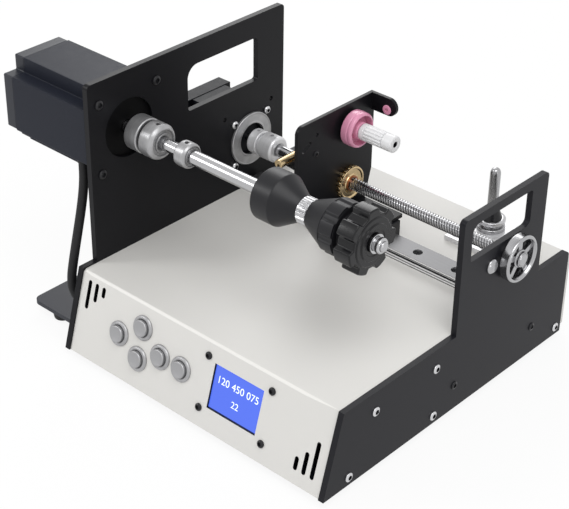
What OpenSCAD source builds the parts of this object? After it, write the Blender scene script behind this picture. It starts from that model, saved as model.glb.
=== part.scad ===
// Bench coil winding machine: sheet metal cabinet between two side plates,
// motor driven spindle with winding cones, screw driven wire guide carriage.
// X runs along the spindle to the right, Y to the back, Z up, Z = 0 under the feet.

/* [Cabinet] */
// clear width between the two side plates
inner_w = 210; // [170:1:300]
// depth of the deck from the front crease to the back
deck_d = 225; // [215:1:300]
// height of the cabinet body from its bottom edge to the deck
body_h = 53; // [45:1:80]
// run of the sloped front from crease to bottom edge
slope_run = 15.5; // [5:0.5:30]
// thickness of the cover sheet
sheet_t = 1.2; // [0.8:0.1:2]
// thickness of the bottom pan sheet
pan_t = 1.5; // [1:0.1:3]
// diameter of the bars that hold the side plates apart
bar_d = 8; // [6:0.5:10]

/* [Side plates] */
// thickness of both side plates
plate_t = 4; // [2.5:0.5:6]
// top of the left tower above the deck
left_top_h = 122; // [115:1:160]
// top of the right tower above the deck
right_top_h = 79; // [76:1:110]
// front edge of the left tower behind the crease
left_front_y = 10.5; // [4:0.5:13]
// front edge of the right tower ahead of the lead screw
right_front_ahead = 50.5; // [47:0.5:60]
// back edge of both towers ahead of the back of the deck
tower_back_in = 43; // [30:1:48]
// back edge of the low part of the plates ahead of the back of the deck
plate_back_in = 9; // [4:1:15]
// height of the low back part above the deck
back_step_h = 8; // [2:0.5:14]
// height of the front lip above the deck
lip_h = 1; // [0.5:0.5:4]
// rounding of the plate corners
plate_round = 3; // [1:0.5:4]
// front of the left handle window ahead of the lead screw
left_win_ahead = 57; // [50:1:65]
// length of the left handle window
left_win_l = 64; // [50:1:70]
// bottom of the left handle window above the deck
left_win_z = 75.6; // [72:0.5:85]
// height of the left handle window
left_win_h = 30.7; // [20:0.1:34]
// front of the right window ahead of the lead screw
right_win_ahead = 42.3; // [38:0.1:44]
// length of the right window
right_win_l = 58.5; // [40:0.5:62]
// bottom of the right window above the deck
right_win_z = 48.8; // [47:0.2:56]
// height of the right window
right_win_h = 24.2; // [14:0.2:25]
// large rounding of the handle windows
win_round = 9; // [4:0.5:10]
// small rounding of the handle windows
win_round_small = 2; // [1:0.5:4]
// head diameter of the plate screws
side_head_d = 6; // [4:0.5:8]

/* [Feet and outrigger] */
// height of the rubber feet
foot_h = 5; // [3:0.5:12]
// diameter of the rubber feet
foot_d = 14; // [10:0.5:24]
// how far the outrigger reaches past the left plate
outrigger_reach = 53; // [30:1:70]
// depth of the outrigger plate
outrigger_d = 110; // [60:1:140]
// thickness of the outrigger plate
outrigger_t = 3; // [2:0.5:5]
// height of the fastening flange of the outrigger
outrigger_flange_h = 24; // [16:1:30]
// corner rounding of the outrigger
outrigger_round = 5; // [2:0.5:10]

/* [Display and buttons] */
// width of the display window
lcd_w = 39; // [30:0.5:45]
// height of the display window
lcd_h = 29; // [20:0.5:32]
// display centre from the left plate
lcd_x = 137.1; // [125:0.1:145]
// display centre down the slope as a share of the slope length
lcd_share = 0.48; // [0.42:0.01:0.52]
// display screw pitch across
lcd_pitch_x = 50.5; // [46:0.1:56]
// display screw pitch down the slope
lcd_pitch_v = 33.8; // [30:0.1:38]
// flange diameter of the push buttons
button_flange_d = 16; // [14:0.5:18]
// plunger diameter of the push buttons
button_cap_d = 10.8; // [8:0.1:12]
// how far the plungers stand out of the panel
button_proud = 3.6; // [2.5:0.1:6]
// push travel of the buttons
button_travel = 1.5; // [0.5:0.1:2.5]
// first button across
button1_x = 57.2; // [50:0.1:60]
// second button across
button2_x = 38.7; // [30:0.1:39]
// fourth button across
button4_x = 75; // [74:0.1:78]
// fifth button across
button5_x = 92.8; // [92:0.1:100]
// first button down the slope
button1_v = 15.5; // [12:0.1:16]
// second button down the slope
button2_v = 27.2; // [26:0.1:29]
// third button down the slope
button3_v = 36.2; // [36:0.1:40]
// width of the vent slots
vent_w = 3; // [1.5:0.1:3]
// spacing of the vent slots
vent_pitch = 6.3; // [5:0.1:8]

/* [Spindle] */
// spindle axis behind the crease
spindle_y = 42.5; // [40:0.5:60]
// spindle axis above the deck
spindle_z = 83.5; // [75:0.5:90]
// diameter of the spindle behind the collar
spindle_d = 9; // [8:0.5:10]
// diameter of the spindle stub in the coupling
spindle_stub_d = 8; // [6:0.5:8]
// diameter of the spindle coupling
coupling_d = 23; // [18:0.5:26]
// left end of the spindle coupling
coupling_x = 6.5; // [6:0.5:12]
// length of the spindle coupling
coupling_l = 24; // [20:0.5:28]
// left end of the stop collar
collar_x = 46; // [40:0.5:50]
// length of the stop collar
collar_l = 9; // [6:0.5:12]
// diameter of the stop collar
collar_d = 16; // [13:0.5:20]
// left end of the left cone
cone_x = 115.5; // [110:0.5:120]
// diameter of the left cone
cone_d = 32; // [26:0.5:38]
// length of the straight part of the left cone
cone_drum_l = 14; // [8:0.5:18]
// length of the tapered part of the left cone
cone_taper_l = 14.2; // [10:0.1:20]
// small diameter of the left cone
cone_tip_d = 15; // [13:0.5:17]
// length of the knurled nut
knurl_l = 7.5; // [5:0.5:10]
// diameter of the knurled nut
knurl_d = 17; // [14:0.5:19]
// length of the tapered part of the right cone
right_taper_l = 16; // [10:0.5:20]
// length of the lobed rim of the right cone
right_rim_l = 10; // [6:0.5:14]
// diameter of the right cone and its rim
right_cone_d = 33; // [28:0.5:38]
// left end of the star knob
knob_x = 182; // [180:0.5:186]
// thickness of the star knob
knob_l = 12; // [8:0.5:14]
// outer diameter of the star knob
knob_d = 40; // [34:0.5:46]
// number of lobes of the star knob
knob_lobes = 7; // [5:1:9]
// right end of the spindle
spindle_end_x = 202.5; // [200:0.5:206]

/* [Spindle motor] */
// width of the spindle motor flange
motor_w = 57; // [54:0.5:60]
// bolt pitch of the spindle motor
motor_pitch = 47.14; // [45:0.01:49]
// thickness of the motor flange
motor_flange_t = 4; // [3:0.5:6]
// corner notch of the motor body
motor_notch = 10; // [8:0.5:11]
// length of the motor stack behind the flange
motor_stack_l = 67; // [40:1:90]
// length of the motor end cap
motor_cap_l = 9; // [6:0.5:14]
// pilot opening of the motor in the left plate
motor_hole_d = 39; // [36:0.5:40]
// diameter of the motor cable
cable_d = 6; // [4:0.5:8]

/* [Traverse drive] */
// lead screw axis ahead of the back of the deck
screw_back_in = 75; // [70:0.5:79]
// lead screw axis above the deck
screw_z = 35; // [32:0.5:40]
// outside diameter of the lead screw
screw_d = 8; // [6:0.5:8]
// width of the traverse motor
small_motor_w = 42; // [38:0.5:42]
// length of the traverse motor
small_motor_l = 46; // [20:1:48]
// bolt pitch of the traverse motor
small_motor_pitch = 31; // [28:0.1:31]
// outside diameter of the pilot ring
pilot_ring_d = 37.5; // [30:0.5:38]
// inside diameter of the pilot ring
pilot_bore_d = 22; // [20:0.5:24]
// diameter of the traverse coupling
screw_coupling_d = 18; // [14:0.5:20]
// length of the traverse coupling
screw_coupling_l = 22; // [18:0.5:26]
// diameter of the handwheel
wheel_d = 30.5; // [22:0.5:34]
// width of the handwheel rim
wheel_l = 7; // [5:0.5:10]
// number of handwheel spokes
wheel_spokes = 5; // [3:1:8]
// width of the linear rail
rail_w = 16; // [12:0.5:18]
// height of the linear rail
rail_h = 7; // [5:0.5:9]
// spacing of the rail screws
rail_pitch = 30; // [25:1:32]

/* [Carriage] */
// left face of the carriage plate at the home position
bracket_x = 83; // [80:0.5:90]
// thickness of the carriage plate
bracket_t = 2.5; // [2:0.1:4]
// front edge of the carriage plate ahead of the lead screw
bracket_ahead = 48.5; // [46:0.5:52]
// back edge of the carriage plate behind the lead screw
bracket_behind = 24; // [22:0.5:28]
// top edge of the carriage plate above the deck
bracket_top_z = 90.5; // [88:0.5:96]
// length of the carriage block
block_l = 45; // [36:1:50]
// width of the carriage block
block_w = 29; // [24:0.5:32]
// top of the carriage block above the deck
block_top_z = 13.5; // [11:0.5:15]
// diameter of the guide wheel
guide_d = 23.5; // [18:0.5:26]
// width of the guide wheel
guide_l = 9; // [6:0.5:12]
// guide wheel axis above the deck
guide_z = 75; // [73:0.5:78]
// diameter of the nozzle in front of the guide wheel
nozzle_d = 11; // [8:0.5:12]
// length of the nozzle
nozzle_l = 26; // [18:0.5:30]
// flange diameter of the lead screw nut
nut_flange_d = 23; // [20:0.5:26]
// number of notches of the lead screw nut
nut_teeth = 18; // [12:1:24]

/* [Spool post] */
// post axis from the left plate
post_x = 157; // [150:0.5:165]
// post axis ahead of the back of the deck
post_back_in = 14; // [12:0.5:20]
// diameter of the post rod
post_d = 7; // [5:0.5:9]
// top of the post above the deck
post_top_z = 48; // [36:1:60]
// diameter of the two post rings
ring_d = 19; // [16:0.5:22]
// height of each post ring
ring_h = 4; // [3:0.5:5]

/* [Hidden] */
$fn = 48;

// running gap between turning or sliding pieces
gap = sheet_t / 12;
// loose gap around pieces that must not touch
loose = sheet_t / 4;
// overrun of every cut past the face it opens
over = plate_t / 4;
// deck above the ground
dz = foot_h + body_h;
// slope length and lean of the sloped front
slope_l = sqrt(slope_run * slope_run + body_h * body_h);
lean = atan(slope_run / body_h);
// how far the side plates stand in front of the sloped front
plate_front = lip_h;
// screw sizes
side_shank_d = side_head_d / 2;
side_head_h = side_head_d * 0.35;
small_head_d = side_head_d * 0.9;
small_shank_d = side_head_d * 0.45;
small_head_h = side_head_d * 0.4;
socket_share = 0.5;
// plate screw places as depth behind the crease and drop below the deck
bar_y_low = 5;
bar_mid_share = 0.3644;
bar_y_mid = deck_d * bar_mid_share;
bar_y_front = 26.7;
bar_back_in = 15.5;
bar_y_back = deck_d - bar_back_in;
bar_drop_high = 12.6;
bar_lift = 6;
bar_drop_low = body_h - bar_lift;
bars = [[bar_y_low, bar_drop_low], [bar_y_front, bar_drop_high], [bar_y_mid, bar_drop_high],
    [bar_y_mid, bar_drop_low], [bar_y_back, bar_drop_low]];
dark_shares = [[0.4507, 0.66], [0.8036, 0.611]];
darks = [for (share = dark_shares) [deck_d * share[0], body_h * share[1]]];
// spare holes above the traverse motor
spare_pitch = small_motor_pitch * 1.43;
spare_ahead = 2;
spare_d = small_shank_d * 1.2;
// outrigger screws
outrigger_y0 = 2;
outrigger_screw_y1 = outrigger_y0 + outrigger_d * 0.3;
outrigger_screw_y2 = outrigger_y0 + outrigger_d * 0.8;
outrigger_top = foot_h + outrigger_t * 1.4;
outrigger_screw_z = outrigger_top + outrigger_flange_h * 0.6;
// places that follow the lead screw and the back of the deck
screw_y = deck_d - screw_back_in;
post_y = deck_d - post_back_in;
tower_back_y = deck_d - tower_back_in;
plate_back_y = deck_d - plate_back_in;
right_front_y = screw_y - right_front_ahead;
left_win_y = screw_y - left_win_ahead;
right_win_y = screw_y - right_win_ahead;
bracket_front_y = screw_y - bracket_ahead;
bracket_back_y = screw_y + bracket_behind;
// buttons
barrel_d = button_cap_d * 1.2;
barrel_l = button_flange_d * 0.7;
flange_l = button_proud * 0.45;
cap_in = button_proud * 1.5;
btn_x = [button1_x, button2_x, button1_x, button4_x, button5_x];
btn_v = [button1_v, button2_v, button3_v, button2_v, button2_v];
// display
lcd_v = slope_l * lcd_share;
lcd_frame_w = lcd_w * 1.12;
lcd_frame_h = lcd_h * 1.14;
lcd_frame_t = sheet_t * 3.4;
board_t = sheet_t * 1.35;
lcd_board_w = lcd_pitch_x + small_head_d;
lcd_board_h = lcd_pitch_v + small_head_d;
lcd_post_l = lcd_frame_t;
// vents
vent_v0 = 4.5;
vent_left_x = 7.2;
vent_left_l = [19.3, 12.4, 7.1];
vent_right_in = 8.2;
vent_right_x = inner_w - vent_right_in;
vent_right_v = 46.8;
vent_right_l = [23.8, 14.4, 8.6];
// spindle stations
pilot_h = plate_t * 0.4;
motor_shaft_d = spindle_stub_d;
motor_back_x = -plate_t - motor_flange_t;
motor_end_x = motor_back_x - motor_stack_l - motor_cap_l;
hub_l = coupling_l * 0.46;
spider_l = coupling_l - 2 * hub_l;
hub2_x = coupling_x + hub_l + spider_l;
knurl_x = cone_x + cone_drum_l + cone_taper_l;
right_x = knurl_x + knurl_l;
right_rim_x = right_x + right_taper_l;
right_end_x = right_rim_x + right_rim_l;
right_tip_d = knurl_d * 1.05;
knob_end_x = knob_x + knob_l;
knob_core_d = knob_d * 0.8;
knob_pad_d = knob_d * 0.2;
knob_hub_d = knob_d * 0.58;
knob_hub_l = knob_l * 0.12;
end_nut_d = spindle_d * 1.3;
end_nut_x = knob_end_x + knob_hub_l + loose;
end_nut_l = spindle_end_x - end_nut_x - spindle_d * 0.15;
seat_d = spindle_d + 2 * gap;
// traverse stations
ring_t = plate_t / 2;
screw_coupling_x = 4;
screw_coupling_neck_d = screw_coupling_d * 0.86;
small_motor_shaft_d = 5;
screw_x0 = screw_coupling_x + screw_coupling_l * 0.55;
screw_shaft_in = screw_coupling_l * 0.4;
bearing_d = screw_d * 2;
bearing_flange_d = bearing_d * 1.12;
bearing_lip = sheet_t * 0.6;
wheel_x = inner_w + plate_t + bearing_lip + loose * 2;
wheel_hub_d = wheel_d * 0.4;
wheel_rim_t = wheel_d * 0.1;
screw_end_x = wheel_x + wheel_l * 1.1;
// left plate inner face and crease in the part frame, which is centred on the whole machine
xl = -(motor_end_x + screw_end_x) / 2;
yf = -(deck_d + sheet_t - slope_run - plate_front) / 2;
dome_ahead = 20.5;
dome_y = screw_y - dome_ahead;
dome_z = 36.5;
dome_d = side_head_d * 1.6;
dome_h = dome_d * 0.3;
rail_x0 = 3;
rail_x1 = inner_w - rail_x0;
rail_hole_d = rail_w * 0.4;
rail_bore_d = rail_w * 0.22;
rail_sink = rail_h * 0.55;
rail_first = 22;
rail_holes = floor((rail_x1 - rail_x0 - rail_first - rail_hole_d) / rail_pitch) + 1;
groove_h = rail_h * 0.22;
groove_z = rail_h * 0.5;
groove_in = rail_w * 0.07;
// carriage stations
block_x = 74;
block_cap_l = block_l * 0.1;
foot_t = bracket_t * 1.1;
foot_x1 = 117.5;
foot_ahead = 16;
foot_behind = 18;
foot_y0 = screw_y - foot_ahead;
foot_y1 = screw_y + foot_behind;
foot_screw_x0 = bracket_x + small_head_d * 5 / 3;
foot_screw_x1 = foot_x1 - small_head_d * 1.3;
foot_screw_pitch = 20;
bracket_z0 = block_top_z;
chamfer_z1 = 54.5;
chamfer_z0 = 36;
chamfer_y = 12;
waist_y = bracket_front_y + chamfer_y;
bracket_round = 5;
tab_l = 22;
tab_h = 12;
eyelet_in = 15;
eyelet_x = bracket_x + eyelet_in;
eyelet_z = 82.5;
eyelet_d = 5;
eyelet_bore = 2.6;
nut_body_d = nut_flange_d * 0.82;
nut_flange_t = bracket_t;
nut_neck_l = 6;
nut_x = bracket_x + bracket_t;
nut_notch_w = nut_body_d * 0.07;
nut_out_l = 5;
wheel_gx = nut_x + bracket_t * 0.8;
nozzle_x = wheel_gx + guide_l + loose;
nozzle_bore = nozzle_d * 0.3;
axle_d = nozzle_d * 0.55;
slot_in = 9;
slot_y = bracket_front_y + slot_in;
slot_z = 74.3;
slot_w = 3;
finger_x = 77;
finger_ahead = 8;
finger_l = 21.5;
finger_y0 = bracket_front_y - finger_ahead;
finger_y1 = finger_y0 + finger_l;
finger_z = 66.5;
finger_d = 6;
finger_plate_t = 2;
finger_screw_d = 3;
finger_screw_in = 3.7;
finger_screw_y = finger_y1 + finger_screw_in;
finger_screw_z = 67;
// post stations
post_plate_x0 = 141;
post_plate_l = 32;
post_plate_w = 40;
post_plate_in = 2;
post_plate_y0 = deck_d - post_plate_in - post_plate_w;
post_plate_t = 3.5;
post_base_z = post_plate_t;
cone_h = 7;
// cable route, through hand picked points from the motor notch down to the left plate
cable_x = -17;
cable_end_gap = 2.5;
cable_out_x = -plate_t - cable_end_gap;
cable_route = [[cable_x, 18.5, 62.6], [cable_x, 18.5, 61], [cable_x, 18.3, 52], [cable_x, 17, 42],
    [cable_x, 14.4, 30], [cable_x, 11, 17], [cable_x, 7.8, 5], [cable_x - 0.6, 5.6, -6],
    [cable_x - 1.3, 4.6, -14], [cable_x - 1.6, 4.4, -21], [cable_x - 1.2, 4.8, -25],
    [cable_x + 0.4, 5.4, -29], [cable_x + 3.2, 6.2, -32], [cable_x + 6.8, 6.8, -33.7],
    [cable_x + 9, 7, -34], [cable_out_x, 7, -34]];
cable_sides = 8;
cable_boot_y = 18.5;
cable_gland_y = 7;
cable_gland_share = 0.6415;
cable_gland_z = -body_h * cable_gland_share;

// places children at machine coordinates: left plate face, crease, deck
module at(x, y, z) {
    translate([xl + x, yf + y, dz + z]) children();
}

// turns children so that their axis runs along X
module along_x() {
    rotate([0, 90, 0]) children();
}

// cylinder along X at machine coordinates
module rod_x(x, y, z, l, d) {
    at(x, y, z) along_x() cylinder(h = l, d = d);
}

// places children on the sloped front, Z outwards and Y up the slope
module on_panel(x, v) {
    translate([xl + x, yf - slope_run * v / slope_l, dz - body_h * v / slope_l])
        rotate([90 - lean, 0, 0]) children();
}

// outline in depth and height becomes a plate along X
module plate_x(x, t) {
    translate([xl + x, yf, dz]) rotate([90, 0, 90]) linear_extrude(t) children();
}

// rectangle with four own corner radii
module rounded_rect(y, z, w, h, ra, rb, rc, rd) {
    translate([y, z]) difference() {
        square([w, h]);
        if (ra > 0) corner_cut(0, 0, ra, 0);
        if (rb > 0) corner_cut(w, 0, rb, 90);
        if (rc > 0) corner_cut(w, h, rc, 180);
        if (rd > 0) corner_cut(0, h, rd, 270);
    }
}

// waste outside a rounded corner
module corner_cut(y, z, r, turn) {
    translate([y, z]) rotate(turn) difference() {
        translate([-r, -r]) square(2 * r);
        translate([r, r]) circle(r);
        translate([-2 * r, r]) square([3 * r, r]);
        translate([r, -2 * r]) square([r, 3 * r]);
    }
}

// pan head screw pointing along its own minus Z, head on Z = 0
module screw(head_d, head_h, shank_d, shank_l) {
    difference() {
        cylinder(h = head_h, d1 = head_d, d2 = head_d * 0.8);
        translate([0, 0, head_h * 0.4]) cylinder(h = head_h, d = head_d * socket_share, $fn = 6);
    }
    translate([0, 0, -shank_l]) cylinder(h = shank_l, d = shank_d);
}

// outline of the low part that both side plates share
module plate_low() {
    back_z = back_step_h;
    front_top = -plate_front;
    front_bottom = -slope_run - plate_front;
    polygon([[front_bottom, -body_h], [plate_back_y, -body_h], [plate_back_y, lip_h],
        [front_top, lip_h]]);
    rounded_rect(tower_back_y - plate_round, -plate_round, plate_back_y - tower_back_y + plate_round,
        back_z + plate_round, 0, 0, plate_round, 0);
}

module plate_holes(x) {
    for (b = bars)
        rod_x(x - over, b[0], -b[1], plate_t + 2 * over, side_shank_d);
    for (b = darks)
        rod_x(x - over, b[0], -b[1], plate_t + 2 * over, side_shank_d);
}

module left_side_plate() {
    color("#242527") difference() {
        plate_x(-plate_t, plate_t) difference() {
            union() {
                plate_low();
                rounded_rect(left_front_y, -plate_round, tower_back_y - left_front_y,
                    left_top_h + plate_round, 0, 0, plate_round, plate_round);
            }
            rounded_rect(left_win_y, left_win_z, left_win_l, left_win_h, win_round_small,
                win_round_small, win_round_small * 2, win_round);
        }
        plate_holes(-plate_t);
        rod_x(-plate_t - over, spindle_y, spindle_z, plate_t + 2 * over, motor_hole_d);
        rod_x(-plate_t - over, screw_y, screw_z, plate_t + 2 * over, pilot_bore_d);
        for (sy = [-1, 1]) for (sz = [-1, 1]) {
            rod_x(-plate_t - over, spindle_y + sy * motor_pitch / 2, spindle_z + sz * motor_pitch / 2,
                plate_t + 2 * over, side_shank_d);
            rod_x(-plate_t - over, screw_y + sy * small_motor_pitch / 2,
                screw_z + sz * small_motor_pitch / 2, plate_t + 2 * over, small_shank_d);
        }
        for (sy = [-1, 1])
            rod_x(-plate_t - over, screw_y - spare_ahead + sy * spare_pitch / 2, screw_z + spare_pitch / 2,
                plate_t + 2 * over, spare_d);
        for (y = [outrigger_screw_y1, outrigger_screw_y2])
            rod_x(-plate_t - over, y, outrigger_screw_z - dz, plate_t + 2 * over, side_shank_d);
        rod_x(-plate_t - over, cable_gland_y, cable_gland_z, plate_t + 2 * over, cable_d);
    }
}

module right_side_plate() {
    color("#242527") difference() {
        plate_x(inner_w, plate_t) difference() {
            union() {
                plate_low();
                rounded_rect(right_front_y, -plate_round, tower_back_y - right_front_y,
                    right_top_h + plate_round, 0, 0, plate_round, plate_round);
            }
            rounded_rect(right_win_y, right_win_z, right_win_l, right_win_h, win_round_small,
                win_round_small * 2, win_round_small, win_round * 0.7);
        }
        plate_holes(inner_w);
        rod_x(inner_w - over, screw_y, screw_z, plate_t + 2 * over, bearing_d);
        rod_x(inner_w - over, dome_y, dome_z, plate_t + 2 * over, side_shank_d);
    }
}

// bent sheet of the cover in depth and height
module cover_profile() {
    crease_in = sheet_t * tan(45 - lean / 2);
    foot_in = sheet_t / cos(lean);
    polygon([[0, 0], [deck_d, 0], [deck_d, -body_h], [deck_d - sheet_t, -body_h],
        [deck_d - sheet_t, -sheet_t], [crease_in, -sheet_t],
        [-slope_run + foot_in, -body_h], [-slope_run, -body_h]]);
}

module cabinet_cover() {
    color("#dcdad2") difference() {
        union() {
            plate_x(0, inner_w) cover_profile();
            for (x = [0, inner_w - sheet_t])
                at(x, plate_back_y + loose, -body_h)
                    cube([sheet_t, deck_d - plate_back_y - loose - sheet_t / 2, body_h - sheet_t / 2]);
        }
        on_panel(lcd_x, lcd_v) translate([-lcd_w / 2, -lcd_h / 2, -sheet_t - over])
            cube([lcd_w, lcd_h, sheet_t + 2 * over]);
        for (sx = [-1, 1]) for (sv = [-1, 1])
            on_panel(lcd_x + sx * lcd_pitch_x / 2, lcd_v + sv * lcd_pitch_v / 2)
                translate([0, 0, -sheet_t - over]) cylinder(h = sheet_t + 2 * over, d = small_shank_d);
        for (i = [0 : 4])
            on_panel(btn_x[i], btn_v[i]) translate([0, 0, -sheet_t - over])
                cylinder(h = sheet_t + 2 * over, d = barrel_d + 2 * gap);
        for (i = [0 : 2]) {
            vent(vent_left_x + i * vent_pitch, vent_v0 + vent_left_l[i], vent_left_l[i]);
            vent(vent_right_x - i * vent_pitch, vent_right_v, vent_right_l[i]);
        }
        for (i = [0 : rail_holes - 1])
            at(rail_x0 + rail_first + i * rail_pitch, screw_y, -sheet_t - over)
                cylinder(h = sheet_t + 2 * over, d = rail_bore_d);
        for (p = post_screws())
            at(p[0], p[1], -sheet_t - over) cylinder(h = sheet_t + 2 * over, d = small_shank_d);
        inlet_at() cylinder(h = sheet_t * 6, d = inlet_d(), center = true);
    }
}

// slot in the sloped front with round ends, v is its lower end
module vent(x, v, l) {
    on_panel(x, v) translate([0, 0, -sheet_t - over]) {
        translate([-vent_w / 2, vent_w / 2, 0]) cube([vent_w, l - vent_w, sheet_t + 2 * over]);
        for (y = [vent_w / 2, l - vent_w / 2])
            translate([0, y, 0]) cylinder(h = sheet_t + 2 * over, d = vent_w);
    }
}

function inlet_d() = sheet_t * 7;
module inlet_at() {
    at(inner_w * 0.8, deck_d - sheet_t / 2, -body_h / 2) rotate([-90, 0, 0]) children();
}

module base_pan() {
    x0 = sheet_t + gap;
    z0 = -body_h;
    y0 = -slope_run + sheet_t / cos(lean) + pan_t * tan(lean) + gap;
    y1 = deck_d - sheet_t;
    rim = pan_t * 5;
    color("#2c2d2f") difference() {
        union() {
            at(x0, y0, z0) cube([inner_w - 2 * x0, y1 - y0, pan_t]);
            at(x0, y1 - pan_t, z0) cube([inner_w - 2 * x0, pan_t, rim]);
            for (p = board_posts())
                at(p[0], p[1], z0) cylinder(h = pan_t + board_lift(), d = small_head_d);
        }
        for (i = [0 : 5])
            at(inner_w * 0.3 + i * vent_pitch * 1.6, deck_d * 0.3, z0 - over)
                cube([vent_w, deck_d * 0.25, pan_t + 2 * over]);
    }
}

function board_lift() = pan_t * 4;
function board_x() = inner_w * 0.15;
function board_y() = deck_d * 0.44;
function board_w() = inner_w * 0.42;
function board_d() = deck_d * 0.28;
function board_posts() = [for (sx = [0.06, 0.94]) for (sy = [0.08, 0.92])
    [board_x() + board_w() * sx, board_y() + board_d() * sy]];

module control_board() {
    z0 = -body_h + pan_t + board_lift();
    color("#1d5b36") union() {
        at(board_x(), board_y(), z0) cube([board_w(), board_d(), board_t]);
        at(board_x() + board_w() * 0.4, board_y() + board_d() * 0.4, z0 + board_t)
            cube([board_w() * 0.15, board_w() * 0.15, board_t]);
        for (i = [0 : 3])
            at(board_x() + board_w() * (0.15 + 0.2 * i), board_y() + board_d() * 0.82, z0 + board_t)
                cube([board_w() * 0.12, board_d() * 0.12, board_t * 4]);
        for (i = [0 : 1])
            at(board_x() + board_w() * (0.75 + 0.12 * i), board_y() + board_d() * 0.3, z0 + board_t)
                cylinder(h = board_t * 6, d = board_w() * 0.09);
    }
}

module stepper_driver() {
    fins = 8;
    w = inner_w * 0.2;
    d = deck_d * 0.25;
    h = body_h * 0.22;
    color("#33353a") at(inner_w * 0.66, deck_d * 0.49, -body_h + pan_t) {
        cube([w, d, h]);
        for (i = [0 : fins - 1])
            translate([w * i / fins, 0, h]) cube([w / fins / 2, d, h * 0.6]);
    }
}

module power_inlet() {
    color("#1a1a1b") inlet_at() difference() {
        union() {
            translate([0, 0, sheet_t / 2]) cylinder(h = sheet_t, d = inlet_d() * 1.4);
            translate([0, 0, -sheet_t * 8]) cylinder(h = sheet_t * 8.5, d = inlet_d() - 2 * gap);
        }
        translate([0, 0, -sheet_t * 6]) cylinder(h = sheet_t * 9, d = inlet_d() * 0.66);
    }
    color("#c8c8c4") inlet_at() translate([0, 0, -sheet_t * 6]) cylinder(h = sheet_t * 5, d = sheet_t * 1.6);
}

module spacer_bars() {
    color("#b9bbbd") for (b = bars) rod_x(0, b[0], -b[1], inner_w, bar_d);
    color("#b9bbbd") for (b = darks) rod_x(0, b[0], -b[1], inner_w, bar_d);
}

module silver_screws() {
    color("#c9cbce") {
        for (b = bars) {
            at(inner_w + plate_t, b[0], -b[1]) along_x()
                screw(side_head_d, side_head_h, side_shank_d, plate_t);
            at(-plate_t, b[0], -b[1]) mirror([1, 0, 0]) along_x()
                screw(side_head_d, side_head_h, side_shank_d, plate_t);
        }
        for (sy = [-1, 1]) for (sz = [-1, 1])
            at(0, screw_y + sy * small_motor_pitch / 2, screw_z + sz * small_motor_pitch / 2) along_x()
                screw(small_head_d, small_head_h, small_shank_d, plate_t);
        for (y = [outrigger_screw_y1, outrigger_screw_y2])
            at(-plate_t - outrigger_t, y, outrigger_screw_z - dz) mirror([1, 0, 0]) along_x()
                screw(side_head_d, side_head_h, side_shank_d, plate_t + outrigger_t);
        for (p = post_screws())
            at(p[0], p[1], post_plate_t) screw(small_head_d, small_head_h * 0.6, small_shank_d,
                post_plate_t + sheet_t);
    }
}

module black_screws() {
    color("#17181a") {
        for (b = darks) {
            at(inner_w + plate_t, b[0], -b[1]) along_x()
                screw(small_head_d, small_head_h, side_shank_d, plate_t);
            at(-plate_t, b[0], -b[1]) mirror([1, 0, 0]) along_x()
                screw(small_head_d, small_head_h, side_shank_d, plate_t);
        }
        for (sy = [-1, 1]) for (sz = [-1, 1])
            at(0, spindle_y + sy * motor_pitch / 2, spindle_z + sz * motor_pitch / 2) along_x()
                screw(side_head_d, side_head_h, side_shank_d, plate_t + motor_flange_t);
        for (sx = [-1, 1]) for (sv = [-1, 1])
            on_panel(lcd_x + sx * lcd_pitch_x / 2, lcd_v + sv * lcd_pitch_v / 2)
                screw(small_head_d * 0.9, small_head_h * 0.7, small_shank_d, sheet_t + lcd_post_l);
    }
}

module rubber_feet() {
    inset = foot_d * 1.1;
    reach = xl - plate_t - outrigger_reach + foot_d * 1.4;
    color("#1b1b1c") {
        for (x = [xl + inset, -xl - inset]) for (y = [yf + inset, -yf - inset])
            translate([x, y, 0]) cylinder(h = foot_h, d1 = foot_d * 0.85, d2 = foot_d);
        for (y = [outrigger_y0 + foot_d * 0.6, outrigger_y0 + outrigger_d - foot_d * 0.8])
            translate([reach, yf + y, 0])
                cylinder(h = outrigger_top - outrigger_t, d1 = foot_d * 0.85, d2 = foot_d);
    }
}

module outrigger_plate() {
    x0 = xl - plate_t - outrigger_reach;
    color("#2d2f33") difference() {
        union() {
            translate([x0, yf + outrigger_y0, outrigger_top - outrigger_t])
                linear_extrude(outrigger_t)
                    rounded_rect(0, 0, outrigger_reach, outrigger_d, outrigger_round, 0, 0,
                        outrigger_round);
            translate([xl - plate_t - outrigger_t, yf + outrigger_y0, outrigger_top - outrigger_t])
                cube([outrigger_t, outrigger_d, outrigger_flange_h + outrigger_t]);
        }
        for (y = [outrigger_screw_y1, outrigger_screw_y2])
            rod_x(-plate_t - outrigger_t - over, y, outrigger_screw_z - dz, outrigger_t + 2 * over,
                side_shank_d);
        for (b = concat(bars, darks))
            rod_x(-plate_t - outrigger_t - over, b[0], -b[1], outrigger_t + over,
                side_head_d * 1.3);
        at(-plate_t - outrigger_t - over, cable_gland_y - cable_d, cable_gland_z - cable_d)
            cube([outrigger_t + 2 * over, cable_d * 2, cable_d * 4]);
    }
}

module lcd_module() {
    color("#1c1d1f") on_panel(lcd_x, lcd_v) translate([0, 0, -sheet_t - lcd_frame_t]) difference() {
        translate([-lcd_frame_w / 2, -lcd_frame_h / 2, 0])
            cube([lcd_frame_w, lcd_frame_h, lcd_frame_t]);
        translate([-lcd_w / 2, -lcd_h / 2, lcd_frame_t / 2]) cube([lcd_w, lcd_h, lcd_frame_t]);
    }
}

module lcd_glass() {
    color("#2e5fd0") on_panel(lcd_x, lcd_v) translate([0, 0, -sheet_t - lcd_frame_t / 2])
        translate([-lcd_w / 2 + gap, -lcd_h / 2 + gap, 0])
            cube([lcd_w - 2 * gap, lcd_h - 2 * gap, lcd_frame_t / 2]);
}

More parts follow.
